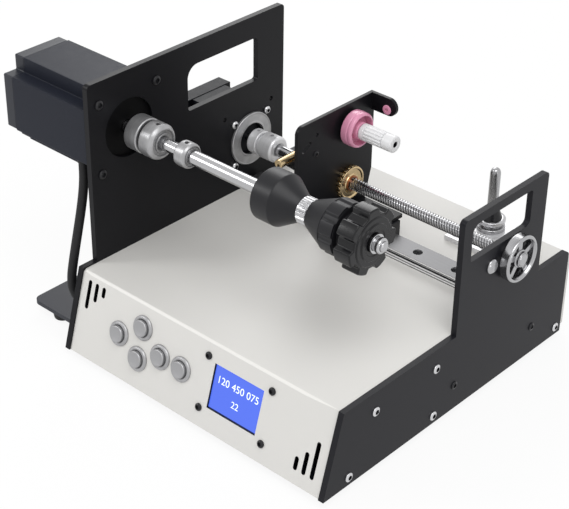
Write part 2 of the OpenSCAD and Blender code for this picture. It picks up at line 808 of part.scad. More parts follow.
module lcd_board() {
    color("#1d5b36") on_panel(lcd_x, lcd_v) difference() {
        union() {
            translate([-lcd_board_w / 2, -lcd_board_h / 2, -sheet_t - lcd_frame_t - board_t])
                cube([lcd_board_w, lcd_board_h, board_t]);
            for (sx = [-1, 1]) for (sv = [-1, 1])
                translate([sx * lcd_pitch_x / 2, sv * lcd_pitch_v / 2, -sheet_t - lcd_post_l])
                    cylinder(h = lcd_post_l, d = small_head_d * 0.85);
        }
        for (sx = [-1, 1]) for (sv = [-1, 1])
            translate([sx * lcd_pitch_x / 2, sv * lcd_pitch_v / 2, -sheet_t - lcd_post_l])
                cylinder(h = lcd_post_l + over, d = small_shank_d);
    }
}

module button_housings() {
    color("#c3c5c8") for (i = [0 : 4]) on_panel(btn_x[i], btn_v[i]) difference() {
        union() {
            cylinder(h = flange_l * 0.6, d = button_flange_d);
            translate([0, 0, flange_l * 0.6])
                cylinder(h = flange_l * 0.4, d1 = button_flange_d, d2 = button_flange_d * 0.9);
            translate([0, 0, -barrel_l]) cylinder(h = barrel_l, d = barrel_d);
        }
        translate([0, 0, -barrel_l + sheet_t]) cylinder(h = barrel_l + over + flange_l,
            d = button_cap_d + 2 * gap);
    }
}

module button_cap(i) {
    color("#cfd1d4") on_panel(btn_x[i], btn_v[i]) difference() {
        union() {
            translate([0, 0, -cap_in]) cylinder(h = cap_in + button_proud * 0.85, d = button_cap_d);
            translate([0, 0, button_proud * 0.85]) cylinder(h = button_proud * 0.15,
                d1 = button_cap_d, d2 = button_cap_d * 0.92);
        }
        translate([0, 0, button_proud + button_cap_d * 1.6]) sphere(d = button_cap_d * 3.25);
    }
}

// square with its four corners cut back by steps
module notched_square(w, n) {
    square([w, w - 2 * n], center = true);
    square([w - 2 * n, w], center = true);
}

module spindle_motor_flange() {
    color("#26272a") difference() {
        union() {
            at(motor_back_x, spindle_y, spindle_z) along_x() linear_extrude(motor_flange_t)
                square(motor_w, center = true);
            rod_x(-plate_t, spindle_y, spindle_z, pilot_h, motor_hole_d - 2 * gap);
        }
        rod_x(motor_back_x - over, spindle_y, spindle_z, motor_flange_t + pilot_h + 2 * over,
            motor_shaft_d + 2 * loose);
        for (sy = [-1, 1]) for (sz = [-1, 1])
            rod_x(motor_back_x - over, spindle_y + sy * motor_pitch / 2,
                spindle_z + sz * motor_pitch / 2, motor_flange_t + 2 * over, side_shank_d);
    }
}

module spindle_motor_body() {
    color("#2b2d31") difference() {
        at(motor_back_x - motor_stack_l, spindle_y, spindle_z) along_x()
            linear_extrude(motor_stack_l) notched_square(motor_w, motor_notch);
        rod_x(motor_back_x - motor_stack_l / 2, spindle_y, spindle_z, motor_stack_l,
            motor_shaft_d + 2 * loose);
    }
}

module spindle_motor_cap() {
    color("#242528") at(motor_end_x, spindle_y, spindle_z) along_x()
        linear_extrude(motor_cap_l) notched_square(motor_w * 0.99, motor_notch);
}

module motor_shaft() {
    color("#c9cbce") rod_x(motor_back_x - motor_stack_l / 2 + over, spindle_y, spindle_z,
        motor_stack_l / 2 - over + motor_flange_t + plate_t + coupling_x + hub_l * 0.9, motor_shaft_d);
}

// half of the spindle coupling, bore filled by the shaft it holds
module coupling_hub(x, bore_x, bore_l) {
    c = coupling_d * 0.04;
    difference() {
        union() {
            rod_x(x + c, spindle_y, spindle_z, hub_l - 2 * c, coupling_d);
            at(x, spindle_y, spindle_z) along_x()
                cylinder(h = c, d1 = coupling_d - 2 * c, d2 = coupling_d);
            at(x + hub_l - c, spindle_y, spindle_z) along_x()
                cylinder(h = c, d1 = coupling_d, d2 = coupling_d - 2 * c);
        }
        rod_x(bore_x, spindle_y, spindle_z, bore_l, motor_shaft_d);
    }
}

module coupling_motor_hub() {
    color("#c6c8cb") coupling_hub(coupling_x, coupling_x - over, hub_l * 0.9 + over);
}

module coupling_spider() {
    color("#141415") rod_x(coupling_x + hub_l, spindle_y, spindle_z, spider_l, coupling_d * 0.92);
}

module coupling_spindle_hub() {
    color("#c6c8cb") coupling_hub(hub2_x, hub2_x + hub_l * 0.1, hub_l);
}

module spindle_shaft() {
    tip = spindle_d * 0.1;
    color("#c9ccd0") {
        rod_x(hub2_x + hub_l * 0.1, spindle_y, spindle_z, collar_x - hub2_x - hub_l * 0.1,
            spindle_stub_d);
        rod_x(collar_x, spindle_y, spindle_z, spindle_end_x - collar_x - tip, spindle_d);
        at(spindle_end_x - tip, spindle_y, spindle_z) along_x()
            cylinder(h = tip, d1 = spindle_d, d2 = spindle_d - 2 * tip);
    }
}

// ring along X that fits its shaft without play
module collar(x, l, d, bore) {
    c = l * 0.08;
    difference() {
        union() {
            rod_x(x + c, spindle_y, spindle_z, l - 2 * c, d);
            at(x, spindle_y, spindle_z) along_x() cylinder(h = c, d1 = d - 2 * c, d2 = d);
            at(x + l - c, spindle_y, spindle_z) along_x() cylinder(h = c, d1 = d, d2 = d - 2 * c);
        }
        rod_x(x - over, spindle_y, spindle_z, l + 2 * over, bore);
    }
}

module stop_collar() {
    color("#c6c8cb") collar(collar_x, collar_l, collar_d, spindle_d);
}

module left_cone() {
    color("#232427") difference() {
        union() {
            at(cone_x, spindle_y, spindle_z) along_x()
                cylinder(h = cone_drum_l * 0.1, d1 = cone_d * 0.94, d2 = cone_d);
            rod_x(cone_x + cone_drum_l * 0.1, spindle_y, spindle_z, cone_drum_l * 0.9, cone_d);
            at(cone_x + cone_drum_l, spindle_y, spindle_z) along_x()
                cylinder(h = cone_taper_l - gap, d1 = cone_d, d2 = cone_tip_d);
        }
        rod_x(cone_x - over, spindle_y, spindle_z, cone_drum_l + cone_taper_l + 2 * over, seat_d);
    }
}

module knurled_nut() {
    flats = 20;
    color("#c6c8cb") difference() {
        rod_x(knurl_x, spindle_y, spindle_z, knurl_l - gap, knurl_d);
        for (i = [0 : flats - 1])
            at(knurl_x + knurl_l * 0.12, spindle_y, spindle_z) rotate([i * 360 / flats, 0, 0])
                translate([0, -knurl_d * 0.03, knurl_d * 0.47])
                    cube([knurl_l * 0.76, knurl_d * 0.06, knurl_d * 0.1]);
        rod_x(knurl_x - over, spindle_y, spindle_z, knurl_l + 2 * over, seat_d);
    }
}

module right_cone() {
    pads = 8;
    color("#232427") difference() {
        union() {
            at(right_x, spindle_y, spindle_z) along_x()
                cylinder(h = right_taper_l, d1 = right_tip_d, d2 = right_cone_d * 0.96);
            rod_x(right_rim_x, spindle_y, spindle_z, right_rim_l, right_cone_d * 0.92);
            for (i = [0 : pads - 1])
                at(right_rim_x, spindle_y, spindle_z) rotate([i * 360 / pads, 0, 0])
                    translate([0, -right_cone_d * 0.13, right_cone_d * 0.38])
                        cube([right_rim_l, right_cone_d * 0.26, right_cone_d * 0.11]);
            rod_x(right_end_x, spindle_y, spindle_z, knob_x - right_end_x - loose,
                right_cone_d * 0.7);
        }
        rod_x(right_x - over, spindle_y, spindle_z, knob_x - right_x + over, spindle_d);
    }
}

// core with lobes, each lobe flat on top with rounded shoulders
module knob_outline() {
    lobe_w = knob_pad_d * 1.3;
    lobe_r = knob_pad_d * 0.3;
    circle(d = knob_core_d);
    for (i = [0 : knob_lobes - 1])
        rotate((i + 0.5) * 360 / knob_lobes)
            rounded_rect(knob_core_d * 0.3, -lobe_w / 2, knob_d / 2 - knob_core_d * 0.3, lobe_w,
                0, lobe_r, lobe_r, 0);
}

module star_knob() {
    color("#1f2022") difference() {
        union() {
            at(knob_x, spindle_y, spindle_z) along_x() linear_extrude(knob_l) knob_outline();
            rod_x(knob_end_x - over, spindle_y, spindle_z, knob_hub_l + over, knob_hub_d);
        }
        rod_x(knob_x - over, spindle_y, spindle_z, knob_l + 4 * over, seat_d);
    }
}

module spindle_end_nut() {
    color("#c9cbce") difference() {
        union() {
            rod_x(end_nut_x, spindle_y, spindle_z, end_nut_l * 0.3, end_nut_d * 1.25);
            at(end_nut_x, spindle_y, spindle_z) along_x()
                cylinder(h = end_nut_l, d = end_nut_d * 1.1, $fn = 6);
        }
        rod_x(end_nut_x - over, spindle_y, spindle_z, end_nut_l + 2 * over, spindle_d);
    }
}

module traverse_motor_body() {
    n = small_motor_w * 0.12;
    cap = small_motor_l * 0.24;
    color("#2b2d31") difference() {
        union() {
            at(-plate_t - cap, screw_y, screw_z) along_x() linear_extrude(cap)
                square(small_motor_w, center = true);
            at(-plate_t - small_motor_l + cap, screw_y, screw_z) along_x()
                linear_extrude(small_motor_l - 2 * cap) notched_square(small_motor_w * 0.98, n);
            at(-plate_t - small_motor_l, screw_y, screw_z) along_x() linear_extrude(cap)
                square(small_motor_w, center = true);
            rod_x(-plate_t, screw_y, screw_z, plate_t / 2, pilot_bore_d - 2 * gap);
        }
        rod_x(-plate_t - small_motor_l * 0.6, screw_y, screw_z, small_motor_l + plate_t,
            small_motor_shaft_d + 2 * gap);
    }
}

module pilot_ring() {
    color("#b4b6b9") difference() {
        rod_x(0, screw_y, screw_z, ring_t, pilot_ring_d);
        rod_x(-over, screw_y, screw_z, ring_t + 2 * over, pilot_bore_d);
    }
}

// coupling in two halves with a narrower waist between them
module screw_coupling() {
    l1 = screw_coupling_l * 0.36;
    l2 = screw_coupling_l * 0.07;
    slit_d = screw_coupling_d * 0.7;
    color("#c6c8cb") {
        difference() {
            union() {
                rod_x(screw_coupling_x, screw_y, screw_z, l1, screw_coupling_d * 0.94);
                rod_x(screw_coupling_x + l1, screw_y, screw_z, l2, slit_d);
                rod_x(screw_coupling_x + l1 + l2, screw_y, screw_z, screw_coupling_l - l1 - l2,
                    screw_coupling_d);
            }
            rod_x(screw_x0, screw_y, screw_z, screw_coupling_l, screw_d);
            rod_x(screw_coupling_x - over, screw_y, screw_z, screw_shaft_in + over,
                small_motor_shaft_d);
        }
    }
}

module traverse_motor_shaft() {
    color("#c9cbce") rod_x(-plate_t - small_motor_l * 0.5, screw_y, screw_z,
        small_motor_l * 0.5 + plate_t + screw_coupling_x + screw_shaft_in, small_motor_shaft_d);
}

module lead_screw() {
    color("#b8babd") {
        rod_x(screw_x0, screw_y, screw_z, screw_end_x - screw_x0 - screw_d * 0.1, screw_d);
        at(screw_end_x - screw_d * 0.1, screw_y, screw_z) along_x()
            cylinder(h = screw_d * 0.1, d1 = screw_d, d2 = screw_d * 0.8);
    }
}

module screw_bearing() {
    color("#9b9da0") difference() {
        union() {
            rod_x(inner_w - bearing_lip, screw_y, screw_z, bearing_lip, bearing_flange_d);
            rod_x(inner_w, screw_y, screw_z, plate_t + bearing_lip, bearing_d);
        }
        rod_x(inner_w - bearing_lip - over, screw_y, screw_z, plate_t + 2 * bearing_lip + 2 * over,
            screw_d + 2 * gap);
    }
}

module handwheel() {
    rim_in = wheel_d - 2 * wheel_rim_t;
    spoke_w = wheel_d * 0.14;
    color("#c6c8cb") difference() {
        union() {
            difference() {
                rod_x(wheel_x, screw_y, screw_z, wheel_l, wheel_d);
                rod_x(wheel_x - over, screw_y, screw_z, wheel_l + 2 * over, rim_in);
            }
            rod_x(wheel_x, screw_y, screw_z, wheel_l, wheel_hub_d);
            for (i = [0 : wheel_spokes - 1])
                at(wheel_x + wheel_l * 0.3, screw_y, screw_z)
                    rotate([i * 360 / wheel_spokes, 0, 0])
                        translate([0, -spoke_w / 2, wheel_hub_d * 0.3])
                            cube([wheel_l * 0.4, spoke_w, (rim_in - wheel_hub_d) / 2 + wheel_rim_t]);
        }
        rod_x(wheel_x - over, screw_y, screw_z, wheel_l + 2 * over, screw_d);
    }
}

module dome_screw() {
    color("#c9cbce") {
        at(inner_w + plate_t, dome_y, dome_z) along_x()
            cylinder(h = dome_h * 0.5, d = dome_d);
        at(inner_w + plate_t + dome_h * 0.5, dome_y, dome_z) along_x()
            cylinder(h = dome_h * 0.5, d1 = dome_d, d2 = dome_d * 0.6);
        rod_x(inner_w - plate_t / 2, dome_y, dome_z, plate_t * 1.5, side_shank_d);
    }
}

module linear_rail() {
    color("#b7b9bc") difference() {
        at(rail_x0, screw_y - rail_w / 2, 0) cube([rail_x1 - rail_x0, rail_w, rail_h]);
        for (s = [-1, 1])
            at(rail_x0 - over, screw_y + s * rail_w / 2 - groove_in, groove_z)
                cube([rail_x1 - rail_x0 + 2 * over, 2 * groove_in, groove_h]);
        for (i = [0 : rail_holes - 1])
            at(rail_x0 + rail_first + i * rail_pitch, screw_y, 0) {
                translate([0, 0, -over]) cylinder(h = rail_h + 2 * over, d = rail_bore_d);
                translate([0, 0, rail_h - rail_sink]) cylinder(h = rail_sink + over, d = rail_hole_d);
            }
    }
}

module rail_screws() {
    h = rail_sink * 0.5;
    color("#2a2b2d") for (i = [0 : rail_holes - 1])
        at(rail_x0 + rail_first + i * rail_pitch, screw_y, rail_h - rail_sink) {
            difference() {
                cylinder(h = h, d = rail_hole_d * 0.9);
                translate([0, 0, h * 0.4]) cylinder(h = h, d = rail_bore_d * 0.75, $fn = 6);
            }
            translate([0, 0, -rail_h + rail_sink - sheet_t]) cylinder(h = rail_h - rail_sink + sheet_t,
                d = rail_bore_d);
        }
}

module carriage_block() {
    side = (block_w - rail_w) / 2 - gap;
    z0 = rail_h * 0.2;
    color("#26282b") {
        at(block_x, screw_y - block_w / 2, rail_h + gap)
            cube([block_l, block_w, block_top_z - rail_h - gap]);
        for (y = [screw_y - block_w / 2, screw_y + block_w / 2 - side])
            at(block_x, y, z0) cube([block_l, side, block_top_z - z0]);
    }
}

// carriage plate outline, depth and height
module bracket_outline() {
    difference() {
        union() {
            rounded_rect(bracket_front_y, chamfer_z1, bracket_back_y - bracket_front_y,
                bracket_top_z - chamfer_z1, 0, 0, 0, bracket_round);
            polygon([[bracket_front_y, chamfer_z1], [waist_y, chamfer_z0],
                [bracket_back_y, chamfer_z0], [bracket_back_y, chamfer_z1]]);
            polygon([[waist_y, chamfer_z0], [foot_y0, bracket_z0], [foot_y1, bracket_z0],
                [bracket_back_y, chamfer_z0]]);
        }
        translate([screw_y, screw_z]) circle(d = nut_body_d);
        translate([screw_y, guide_z]) circle(d = axle_d);
        translate([slot_y - slot_w, slot_z - slot_w * 0.4]) rotate(30) {
            translate([0, -slot_w / 2]) square([slot_w * 2, slot_w]);
            circle(d = slot_w);
            translate([slot_w * 2, 0]) circle(d = slot_w);
        }
        translate([slot_y + slot_w * 3, slot_z + slot_w * 1.9]) circle(d = slot_w * 0.8);
        translate([finger_screw_y, finger_screw_z]) circle(d = finger_screw_d);
    }
}

module carriage_bracket() {
    color("#1f2022") difference() {
        union() {
            plate_x(bracket_x, bracket_t) bracket_outline();
            at(bracket_x, foot_y0, block_top_z) cube([foot_x1 - bracket_x, foot_y1 - foot_y0, foot_t]);
            at(bracket_x, bracket_back_y - bracket_t, bracket_top_z - tab_h)
                cube([tab_l - tab_h / 2, bracket_t, tab_h]);
            at(bracket_x + tab_l - tab_h / 2, bracket_back_y - bracket_t, bracket_top_z - tab_h / 2)
                rotate([-90, 0, 0]) cylinder(h = bracket_t, d = tab_h);
        }
        at(eyelet_x, bracket_back_y - bracket_t - over, eyelet_z) rotate([-90, 0, 0])
            cylinder(h = bracket_t + 2 * over, d = eyelet_d);
        for (p = foot_screws())
            at(p[0], p[1], block_top_z - over) cylinder(h = foot_t + 2 * over, d = small_shank_d);
    }
}

function foot_screws() = [for (x = [foot_screw_x0, foot_screw_x1]) for (s = [-1, 1])
    [x, screw_y + s * foot_screw_pitch / 2]];

module bracket_screws() {
    color("#c9cbce") {
        for (p = foot_screws())
            at(p[0], p[1], block_top_z + foot_t)
                screw(small_head_d, small_head_h * 0.6, small_shank_d, foot_t);
        at(bracket_x + bracket_t, finger_screw_y, finger_screw_z) along_x()
            screw(small_head_d, small_head_h * 0.6, finger_screw_d, bracket_t + bracket_x - finger_x);
    }
}

module lead_nut() {
    color("#c9a24a") difference() {
        union() {
            rod_x(nut_x, screw_y, screw_z, nut_flange_t, nut_flange_d);
            rod_x(bracket_x - nut_out_l, screw_y, screw_z, nut_out_l + bracket_t, nut_body_d);
            rod_x(nut_x + nut_flange_t, screw_y, screw_z, nut_neck_l * 0.4, nut_flange_d * 0.5);
        }
        for (i = [0 : nut_teeth - 1])
            at(bracket_x - nut_out_l - over, screw_y, screw_z) rotate([i * 360 / nut_teeth, 0, 0])
                translate([0, -nut_notch_w, nut_body_d * 0.43])
                    cube([nut_out_l + over, nut_notch_w * 2, nut_body_d * 0.1]);
        rod_x(bracket_x - nut_out_l - over, screw_y, screw_z, nut_neck_l * 4, screw_d + 2 * gap);
    }
}

module wire_eyelet() {
    lip = eyelet_d * 0.16;
    color("#d8879f") difference() {
        union() {
            at(eyelet_x, bracket_back_y - bracket_t, eyelet_z) rotate([-90, 0, 0])
                cylinder(h = bracket_t, d = eyelet_d);
            for (y = [bracket_back_y - bracket_t - lip, bracket_back_y])
                at(eyelet_x, y, eyelet_z) rotate([-90, 0, 0])
                    cylinder(h = lip, d = eyelet_d + 2 * lip);
        }
        at(eyelet_x, bracket_back_y - bracket_t - over - lip, eyelet_z) rotate([-90, 0, 0])
            cylinder(h = bracket_t + 2 * over + 2 * lip, d = eyelet_bore);
    }
}

module guide_finger() {
    color("#d9b866") difference() {
        at(finger_x, finger_y0, finger_z) rotate([-90, 0, 0])
            cylinder(h = finger_y1 - finger_y0, d = finger_d);
        at(finger_x - finger_d, finger_y0 + finger_d * 0.7, finger_z - finger_d * 0.08)
            cube([finger_d * 2, finger_y1 - finger_y0, finger_d * 0.16]);
        at(finger_x - finger_plate_t / 2, finger_y0 - over, finger_z - finger_d)
            cube([finger_plate_t, finger_y1 - finger_y0 + 2 * over, finger_d]);
    }
}

module finger_plate() {
    drop = finger_d * 2.6;
    color("#d9dadc") difference() {
        union() {
            plate_x(finger_x - finger_plate_t / 2, finger_plate_t) {
                polygon([[finger_y0 + finger_d * 0.4, finger_z], [finger_screw_y, finger_z],
                    [finger_y1, finger_z - drop]]);
                translate([finger_screw_y, finger_screw_z]) circle(d = finger_screw_d * 2);
            }
            rod_x(finger_x + finger_plate_t / 2, finger_screw_y, finger_screw_z,
                bracket_x - finger_x - finger_plate_t / 2, finger_screw_d * 2);
        }
        rod_x(finger_x - finger_d, finger_screw_y, finger_screw_z, finger_d * 3, finger_screw_d);
    }
}

module guide_nozzle() {
    ribs = 14;
    knurl_x0 = nozzle_x + nozzle_l * 0.14;
    color("#e6e7e8") difference() {
        union() {
            rod_x(nozzle_x, screw_y, guide_z, nozzle_l, nozzle_d);
            rod_x(bracket_x, screw_y, guide_z, nozzle_x - bracket_x, axle_d);
        }
        for (i = [0 : ribs - 1])
            at(knurl_x0, screw_y, guide_z) rotate([i * 360 / ribs, 0, 0])
                translate([0, -nozzle_d * 0.04, nozzle_d * 0.45])
                    cube([nozzle_l * 0.46, nozzle_d * 0.08, nozzle_d * 0.1]);
        rod_x(nozzle_x + nozzle_l * 0.2, screw_y, guide_z, nozzle_l, nozzle_bore);
    }
}

module guide_wheel() {
    rim = guide_l * 0.2;
    web_d = guide_d * 0.72;
    color("#e79ab4") at(wheel_gx, screw_y, guide_z) along_x() difference() {
        union() {
            cylinder(h = guide_l, d = guide_d * 0.9);
            cylinder(h = rim, d = guide_d);
            translate([0, 0, rim]) cylinder(h = rim, d1 = guide_d, d2 = guide_d * 0.9);
            translate([0, 0, guide_l - 2 * rim]) cylinder(h = rim, d1 = guide_d * 0.9, d2 = guide_d);
            translate([0, 0, guide_l - rim]) cylinder(h = rim, d = guide_d);
        }
        translate([0, 0, guide_l - rim]) cylinder(h = guide_l, d = web_d);
        translate([0, 0, -over]) cylinder(h = guide_l + 2 * over, d = axle_d + 2 * gap);
    }
}

function post_screws() = [for (share = [0.16, 0.84])
    [post_plate_x0 + post_plate_l * share, post_plate_y0 + post_plate_w * 0.14]];

module post_plate() {
    slot_l = post_plate_w * 0.18;
    color("#c3c5c8") difference() {
        at(post_plate_x0, post_plate_y0, 0) cube([post_plate_l, post_plate_w, post_plate_t]);
        for (p = post_screws())
            at(p[0], p[1], -over) cylinder(h = post_plate_t + 2 * over, d = small_shank_d);
        for (share = [0.48, 0.74])
            at(post_plate_x0 + post_plate_l * 0.88, post_plate_y0 + post_plate_w * share, -over)
                cube([small_shank_d / 2, slot_l, post_plate_t + 2 * over]);
    }
}

module post_rod() {
    neck_top = post_base_z + 2 * ring_h + cone_h + gap + loose;
    color("#c6c8cb") {
        at(post_x, post_y, post_base_z) cylinder(h = ring_h - loose, d = ring_d);
        at(post_x, post_y, post_base_z) cylinder(h = neck_top - post_base_z, d = post_d - 4 * gap);
        at(post_x, post_y, neck_top) cylinder(h = post_top_z - neck_top - post_d / 2, d = post_d);
        at(post_x, post_y, post_top_z - post_d / 2) difference() {
            sphere(d = post_d);
            translate([-post_d, -post_d, -2 * post_d]) cube(2 * post_d);
        }
    }
}

module post_upper_ring() {
    z0 = post_base_z + ring_h + gap;
    color("#c6c8cb") at(post_x, post_y, z0) difference() {
        cylinder(h = ring_h, d = ring_d);
        translate([0, 0, -over]) cylinder(h = ring_h + 2 * over, d = post_d + 2 * gap);
    }
}

module post_cone() {
    z0 = post_base_z + 2 * ring_h + gap;
    color("#3a3c40") at(post_x, post_y, z0) difference() {
        cylinder(h = cone_h, d1 = ring_d * 0.74, d2 = post_d * 1.3);
        translate([0, 0, -over]) cylinder(h = cone_h + 2 * over, d = post_d + 2 * gap);
    }
}

// tube swept through a list of points
module sweep(points, d, sides) {
    n = len(points);
    function dir(i) = points[min(i + 1, n - 1)] - points[max(i - 1, 0)];
    function unit(v) = v / norm(v);
    ring = [for (i = [0 : n - 1]) let (t = unit(dir(i)), u = unit(cross([1, 0.2, 0], t)),
        w = cross(t, u)) for (k = [0 : sides - 1])
            points[i] + d / 2 * (cos(360 * k / sides) * u + sin(360 * k / sides) * w)];
    quads = [for (i = [0 : n - 2]) for (k = [0 : sides - 1])
        [i * sides + k, i * sides + (k + 1) % sides, (i + 1) * sides + (k + 1) % sides,
            (i + 1) * sides + k]];
    ends = [[for (k = [0 : sides - 1]) sides - 1 - k], [for (k = [0 : sides - 1]) (n - 1) * sides + k]];
    polyhedron(points = ring, faces = concat(quads, ends), convexity = 4);
}

module motor_cable() {
    color("#161617") at(0, 0, 0) sweep(cable_route, cable_d, cable_sides);
}

module cable_glands() {
    color("#1a1a1c") {
        at(cable_x, cable_boot_y, spindle_z - motor_w / 2 + motor_notch - cable_d * 0.4)
            cylinder(h = cable_d * 0.4, d = cable_d * 1.3);
        rod_x(-plate_t - cable_d * 0.4, cable_gland_y, cable_gland_z, cable_d * 0.4, cable_d * 1.5);
        rod_x(-plate_t, cable_gland_y, cable_gland_z, plate_t + cable_d * 0.2, cable_d);
    }
}

cabinet_cover();
base_pan();
left_side_plate();
right_side_plate();
spacer_bars();
silver_screws();
black_screws();
rubber_feet();
outrigger_plate();
lcd_module();
lcd_glass();
lcd_board();
button_housings();
button_cap(0);  // button_cap_1
button_cap(1);  // button_cap_2
button_cap(2);  // button_cap_3
button_cap(3);  // button_cap_4
button_cap(4);  // button_cap_5
control_board();
stepper_driver();
power_inlet();
spindle_motor_flange();
spindle_motor_body();
spindle_motor_cap();
motor_shaft();
coupling_motor_hub();
coupling_spider();
coupling_spindle_hub();
spindle_shaft();
stop_collar();
left_cone();
knurled_nut();
right_cone();
star_knob();
spindle_end_nut();
traverse_motor_body();
traverse_motor_shaft();
pilot_ring();
screw_coupling();
lead_screw();
screw_bearing();
handwheel();
dome_screw();
linear_rail();
rail_screws();
carriage_block();
carriage_bracket();
bracket_screws();
lead_nut();
wire_eyelet();
guide_finger();
finger_plate();
guide_nozzle();
guide_wheel();
post_plate();
post_rod();
post_upper_ring();
post_cone();
motor_cable();
cable_glands();
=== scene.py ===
"""Bench coil winding machine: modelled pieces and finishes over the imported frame."""

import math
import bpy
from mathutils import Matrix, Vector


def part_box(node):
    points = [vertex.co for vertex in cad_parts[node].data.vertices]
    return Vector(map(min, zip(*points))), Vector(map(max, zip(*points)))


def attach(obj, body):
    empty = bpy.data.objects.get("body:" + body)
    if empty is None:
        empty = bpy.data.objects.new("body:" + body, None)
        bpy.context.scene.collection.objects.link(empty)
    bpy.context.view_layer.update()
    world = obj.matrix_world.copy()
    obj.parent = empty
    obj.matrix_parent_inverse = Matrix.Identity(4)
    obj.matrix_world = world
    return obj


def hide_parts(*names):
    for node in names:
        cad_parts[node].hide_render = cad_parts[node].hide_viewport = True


bl_info = {
    "name": "Bench coil winding machine",
    "version": (1, 0, 0),
    "blender": (4, 5, 0),
    "location": "View3D > Sidebar > Winder",
    "description": "Models the pieces, finishes and stage of a bench coil winding machine",
    "category": "Object",
}

import bpy
from mathutils import Matrix, Vector

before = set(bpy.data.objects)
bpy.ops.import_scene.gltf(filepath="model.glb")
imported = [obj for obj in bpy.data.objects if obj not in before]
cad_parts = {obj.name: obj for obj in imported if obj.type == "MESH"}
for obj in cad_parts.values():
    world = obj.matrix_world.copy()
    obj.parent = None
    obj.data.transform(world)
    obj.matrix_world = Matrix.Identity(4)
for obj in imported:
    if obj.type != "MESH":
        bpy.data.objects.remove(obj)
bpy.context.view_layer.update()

MM = 0.001
# the cabinet in mm: run, height and length of the sloped front, inner width, plates
SLOPE_RUN, BODY_H = 15.5, 53.0
SLOPE_L = math.hypot(SLOPE_RUN, BODY_H)
LEAN = math.atan2(SLOPE_RUN, BODY_H)
INNER_W, PLATE_T = 210.0, 4.0
# the left plate's inner face, the crease of the cover and the top of the deck
COVER_LOW, COVER_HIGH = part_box("cabinet_cover")
ORIGIN = Vector((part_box("left_side_plate")[1].x, COVER_LOW.y + SLOPE_RUN * MM, COVER_HIGH.z))
X_AXIS, Y_AXIS, Z_AXIS = Vector((1, 0, 0)), Vector((0, 1, 0)), Vector((0, 0, 1))


def at(x, y, z):
    """Point in metres from millimetres off the left plate, the crease and the deck."""
    return ORIGIN + Vector((x, y, z)) * MM


# axes of the spindle, the lead screw, the wire guide and the spool post
SPINDLE_Y, SPINDLE_Z = 42.5, 83.5
TRAVERSE_Y, TRAVERSE_Z = 150.0, 35.0
SPINDLE = at(0, SPINDLE_Y, SPINDLE_Z)
TRAVERSE = at(0, TRAVERSE_Y, TRAVERSE_Z)
GUIDE = at(0, TRAVERSE_Y, 75)
POST = at(157, 211, 0)
NOWHERE = Vector((0, 0, 0))
# half the bolt pitch of the spindle motor, and of the traverse motor and both rears
BIG_PITCH, SMALL_PITCH = 23.57, 15.5
# middle of the display on the sloped front, and half of its lit field, in mm
DISPLAY = (137.1, 26.5)
FIELD_X, FIELD_Z = 19.1, 13.55
# finishes in mm: where the rail's ground top begins, its grooves, the motor's sheets
RAIL_TOP, GROOVE_PITCH, SHEET_PITCH = 6.85, 1.75, 0.9
# the photograph's camera: its place, and its turn, rise and roll in degrees
CAMERA_PLACE = at(647.45, -531.97, 533.97)
CAMERA_ANGLES = (42.052, 32.163, 0.796)


# --- settings


def mm(name, text, value, low=0.0):
    """A length in millimetres that a user may change."""
    return bpy.props.FloatProperty(
        name=name, description=text, default=value, min=low, step=10, precision=2
    )


def count(name, text, value, low):
    """A number of like details that a user may change."""
    return bpy.props.IntProperty(name=name, description=text, default=value, min=low)


def tint(name, text, value):
    """A colour that a user may change."""
    return bpy.props.FloatVectorProperty(
        name=name, description=text, default=value, size=3, min=0.0, max=1.0, subtype="COLOR"
    )


class WinderSizes(bpy.types.PropertyGroup):
    """Sizes that shape the details of the machine."""

    bend_reach: mm("Bend", "Reach of the bend between front and deck in mm", 1.5)
    sheet_ease: mm("Sheet edge", "Rounding of the cover's edges in mm", 0.5)
    plate_ease: mm("Plate edge", "Rounding of the side plates' edges in mm", 0.7)
    motor_ease: mm("Motor edge", "Rounding of the motor housings in mm", 0.9)
    thread_lead: mm("Thread lead", "Travel of the lead screw per turn in mm", 8.0, 1.0)
    thread_depth: mm("Thread depth", "Depth of the lead screw's thread in mm", 0.9)
    thread_starts: count("Thread starts", "Starts of the lead screw", 4, 1)
    knurl_ribs: count("Knurl ribs", "Ribs round the clamp nut", 16, 8)
    knob_lobes: count("Knob lobes", "Lobes of the star knob", 7, 3)
    rim_pads: count("Rim pads", "Flat pads round the right cone", 8, 3)
    spokes: count("Spokes", "Spokes of the handwheel", 5, 3)
    lens: bpy.props.FloatProperty(
        name="Lens", description="Focal length of the camera", default=100.14, unit="CAMERA"
    )
    cable_thick: mm("Cable", "Thickness of the motor cable in mm", 6.0, 1.0)


class WinderColours(bpy.types.PropertyGroup):
    """Colours of the finishes."""

    cover: tint("Cover", "Ivory powder coat", (0.66, 0.65, 0.625))
    plate: tint("Plates", "Black powder coat", (0.013, 0.013, 0.016))
    motor: tint("Motors", "Black motor paint", (0.014, 0.016, 0.024))
    moulded: tint("Moulded parts", "Black moulded plastic", (0.009, 0.009, 0.011))
    steel: tint("Steel", "Ground steel", (0.44, 0.44, 0.45))
    aluminium: tint("Aluminium", "Turned aluminium", (0.52, 0.52, 0.53))
    brass: tint("Brass", "Turned brass", (0.68, 0.52, 0.30))
    copper: tint("Bush", "Copper coloured bush", (0.40, 0.17, 0.09))
    pink: tint("Guide wheel", "Pink moulded plastic", (0.70, 0.29, 0.43))
    white: tint("Nozzle", "White moulded plastic", (0.74, 0.74, 0.75))
    display: tint("Display", "Blue of the lit display", (0.075, 0.16, 0.90))
    digits: tint("Digits", "Pale digits on the display", (0.80, 0.88, 1.0))
    board: tint("Boards", "Green circuit board", (0.02, 0.16, 0.07))


# --- modelling


